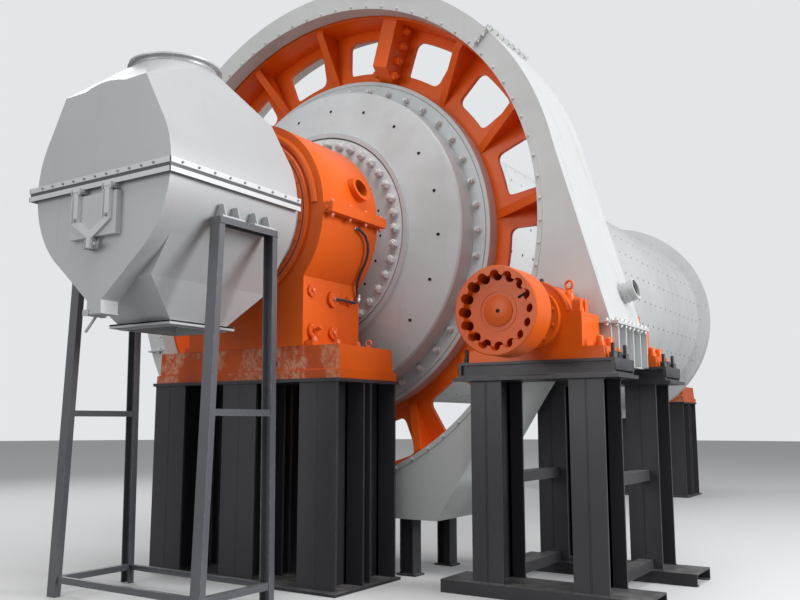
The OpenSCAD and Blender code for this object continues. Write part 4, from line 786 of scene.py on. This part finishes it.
for i in range(8):
    pair(3.084, 0.69 + 0.107 * i, 0.012)
    pair(-2.450, 0.69 + 0.107 * i, 0.010)
for x in [2.30 + 0.12 * i for i in range(7)] + [-2.30]:
    pair(x, 0.632, 0.008)
small, large = bolt(0.022, 0.012, 0.030, 0.013), bolt(0.030, 0.018, 0.040, 0.018)
settle(joined((small, curb + slanted), (large, level)), "guard_bolts", nut_paint)
strips = []
for x0, x1 in ((2.215, 3.048), (-2.43, -2.215)):
    for low, high in ((0.0005, 0.008), (-0.008, -0.0005)):
        strips.append(box((x0, 0.611, guard_split + low), (x1, 0.652, guard_split + high), 0.001))
settle(in_place(*strips), "guard_front_joint_strips", guard_paint)
nozzle_way, nozzle_root = Vector((0.9616, 0.0, 0.2747)), Vector((2.9343, 1.24, 2.490))


def along_nozzle(reach):
    """A place on the nozzle's axis, some way out from its root."""
    return stand(nozzle_root + nozzle_way * reach, nozzle_way, (0, 1, 0))


band = turned([(0.085, -0.008), (0.093, -0.006), (0.093, 0.006), (0.085, 0.008)], 40)
settle(joined((band, [along_nozzle(reach) for reach in (0.060, 0.105, 0.153)])), "nozzle_bands",
       guard_paint)
# a near-black disc down inside the nozzle: painted shade in its bore
settle(joined((turned([(0, 0.0), (0.077, 0.0)], 32), [along_nozzle(0.135)])), "nozzle_inside", hole_shade_paint)

# Discharge hood: welded sheet in two halves, bolted through angles at the joint and
# sprayed silver-grey, with a flanged vent on top and a flanged outlet below.


def silver(name, colour=(0.50, 0.515, 0.525), shade=(0.43, 0.445, 0.455)):
    """Silver-grey spray with a little metal flake in it."""
    made = paint(
        name, colour, shade, 0.34, dust=0.08, runs=0.14, chips=((0.56, 0.57, 0.58), 0.3), gloss=0.1
    )
    made.node_tree.nodes["Principled BSDF"].inputs["Metallic"].default_value = 0.25
    return made


hood_paint = silver("hood_paint")
dress(hood_paint, "hood_upper", "hood_lower", "hood_vent_flange", "hood_outlet_flange", "hood_brackets")
# the lips get a lighter copy of the hood paint: a painted highlight where they catch the light
lip_lit_paint = silver("lip_lit_paint", (0.64, 0.655, 0.665), (0.56, 0.575, 0.585))
joint_shade = silver("joint_shade", (0.10, 0.105, 0.11), (0.07, 0.073, 0.076))
hood_bolts = paint(
    "hood_bolt_paint", (0.34, 0.35, 0.36), (0.25, 0.255, 0.26), 0.36, dust=0.1, runs=0.3, scale=8.0
)
# the joint: a pressed lip on each half in a lighter copy of the hood paint (painted highlight), and dark
# boxes between them as painted shadow
lip_x, lip_front, lip_back, lip_thick = 0.825, -2.065, -0.622, 0.008
lips, shadow_boxes = [], []
for low, high in ((3.146, 3.185), (3.213, 3.254)):
    for s in (-1, 1):
        x0, x1 = sorted((s * (lip_x - lip_thick), s * lip_x))
        lips.append(box((x0, lip_front, low), (x1, lip_back, high), 0.001))
    front = (lip_x, lip_front + lip_thick, high)
    lips.append(box((-lip_x, lip_front, low), front, 0.001))
# the dark boxes below are painted shadow where the joint between the lips lies in shade
shadow_x, shadow_out, shadow_front, shadow_low, shadow_high = 0.784, 0.819, -2.058, 3.156, 3.2125
for s in (-1, 1):
    x0, x1 = sorted((s * shadow_x, s * shadow_out))
    shadow_boxes.append(box((x0, shadow_front, shadow_low), (x1, -0.624, shadow_high)))
shadow_boxes.append(box((-shadow_x, shadow_front, shadow_low), (shadow_x, -2.024, shadow_high)))
settle(in_place(*lips), "hood_joint_lips", lip_lit_paint)
settle(in_place(*shadow_boxes), "hood_joint_painted_shadow", joint_shade)
# small bolts on the upper lip, and on the brackets where the hood hangs in its stand
lip_bolt_z, bracket_x, bracket_bolt_z = 3.232, 0.83, 2.924
tiny = []
for s in (-1, 1):
    tiny += [stand((s * lip_x, -1.951 + 0.161 * i, lip_bolt_z), (s, 0, 0), up) for i in range(9)]
tiny += [stand((-0.65 + 0.13 * i, lip_front, lip_bolt_z), (0, -1, 0)) for i in range(11)]
bracket_y = (-1.536, -1.345, -1.188, -0.998)
tiny += [stand((s * bracket_x, y, bracket_bolt_z)) for s in (-1, 1) for y in bracket_y]
settle(joined((bolt(0.017, 0.009, 0.022, 0.009), tiny)), "hood_bolts", hood_bolts)
# the outlet: a weld round the neck where it meets the flange, and the flange's rolled edge
outlet_low, outlet_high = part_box("hood_outlet_flange")
neck_in, rim_thick, rim_drop = 0.050, 0.005, 0.032
neck_x, neck_z = outlet_high.x - neck_in, outlet_high.z
neck_front, neck_back = outlet_low.y + neck_in, outlet_high.y - neck_in
edges = []
for s in (-1, 1):
    edges.append(((s * neck_x, neck_front, neck_z), (s * neck_x, neck_back, neck_z), (s, 0, 0), up))
for y, out in ((neck_front, -1), (neck_back, 1)):
    edges.append(((-neck_x, y, neck_z), (neck_x, y, neck_z), (0, out, 0), up))
settle(seam(edges, 0.008), "hood_outlet_weld", hood_paint)
x, y0, y1 = outlet_high.x, outlet_low.y, outlet_high.y
rims = []
for low, high in (((-x, y0), (x, y0 + rim_thick)), ((-x, y1 - rim_thick), (x, y1)),
                  ((-x, y0 + rim_thick), (rim_thick - x, y1 - rim_thick)),
                  ((x - rim_thick, y0 + rim_thick), (x, y1 - rim_thick))):
    rims.append(box((*low, neck_z - rim_drop), (*high, neck_z + 0.0005), 0.001))
settle(in_place(*rims), "outlet_flange_rim", hood_paint)

# Access door: a shallow box pressed on the hood front by a forked yoke on two hinge pins;
# a clamp with wing screws holds the foot of the yoke.
door_paint = silver("door_paint", (0.52, 0.535, 0.545), (0.45, 0.465, 0.475))
dress(door_paint, "hood_door", "door_latch")
yoke_paint = silver("yoke_paint", (0.62, 0.635, 0.645), (0.54, 0.555, 0.565))
dress(yoke_paint, "door_yoke")
strap_x, strap_face = 0.181, -2.090
straps = [stand((s * strap_x, strap_face, 2.905), (0, -1, 0)) for s in (-1, 1)]
settle(joined((bolt(0.024, 0.011, 0.034), straps)), "yoke_strap_bolts", hood_bolts, "access_door")
strap_half, edge_half, edge_front = 0.0355, 0.0035, -2.104
strap_edges = []
for s in (-1, 1):
    for t in (-1, 1):
        x = s * strap_x + t * strap_half
        low, high = (x - edge_half, edge_front, 2.885), (x + edge_half, strap_face, 3.105)
        strap_edges.append(box(low, high, 0.001))
settle(in_place(*strap_edges), "yoke_strap_edges", yoke_paint, "access_door")
wing_y = -2.076
wings = []
for s in (-1, 1):
    bar = turned([(0, 0.0), (0.006, 0.002), (0.006, 0.068), (0, 0.070)], 10)
    wings.append((bar, [stand((s * 0.078, wing_y, 2.668), (s * 0.25, 0, 1))]))
    screw = turned([(0, 0.0), (0.0065, 0.0), (0.0065, 0.03), (0, 0.03)], 10)
    wings.append((screw, [stand((s * 0.060, wing_y, 2.700), (s, 0, 0), up)]))
settle(joined(*wings), "clamp_wing_screws", hood_bolts)

# Spout flap: a sheared steel plate that closes the small spout from below, welded to its
# pin and worked by a bent lever; sprayed with the hood.
dress(silver("flap_paint"), "spout_flap")

# Hood stand: two side frames of rolled channel, mitred and welded, tied near the floor and
# sprayed a glossy grey; small plates close the ends of the top beams.
stand_paint = paint(
    "stand_paint", (0.105, 0.108, 0.124), (0.070, 0.072, 0.084), 0.26, dust=0.25, runs=0.3,
    chips=((0.30, 0.31, 0.33), 0.6), gloss=0.7,
)
dress(stand_paint, "stand_right", "stand_left", "stand_ties")
leg_x, leg_half, beam_under = 0.803, 0.050, 2.862
corners, closers = [], []
for s in (-1, 1):
    for t in (-1, 1):
        x = s * leg_x + t * leg_half
        for y0, y1 in ((-1.591, -1.543), (-0.991, -0.943)):
            corners.append(((x, y0, beam_under), (x, y1, beam_under), (t, 0, 0), down))
    x0, x1 = s * leg_x - leg_half, s * leg_x + leg_half
    for y in (-1.5925, -0.9505):
        closers.append(box((x0, y, 2.850), (x1, y + 0.009, 2.9075), 0.002))
settle(seam(corners, 0.006), "stand_corner_welds", stand_paint)
settle(in_place(*closers), "stand_end_plates", stand_paint)
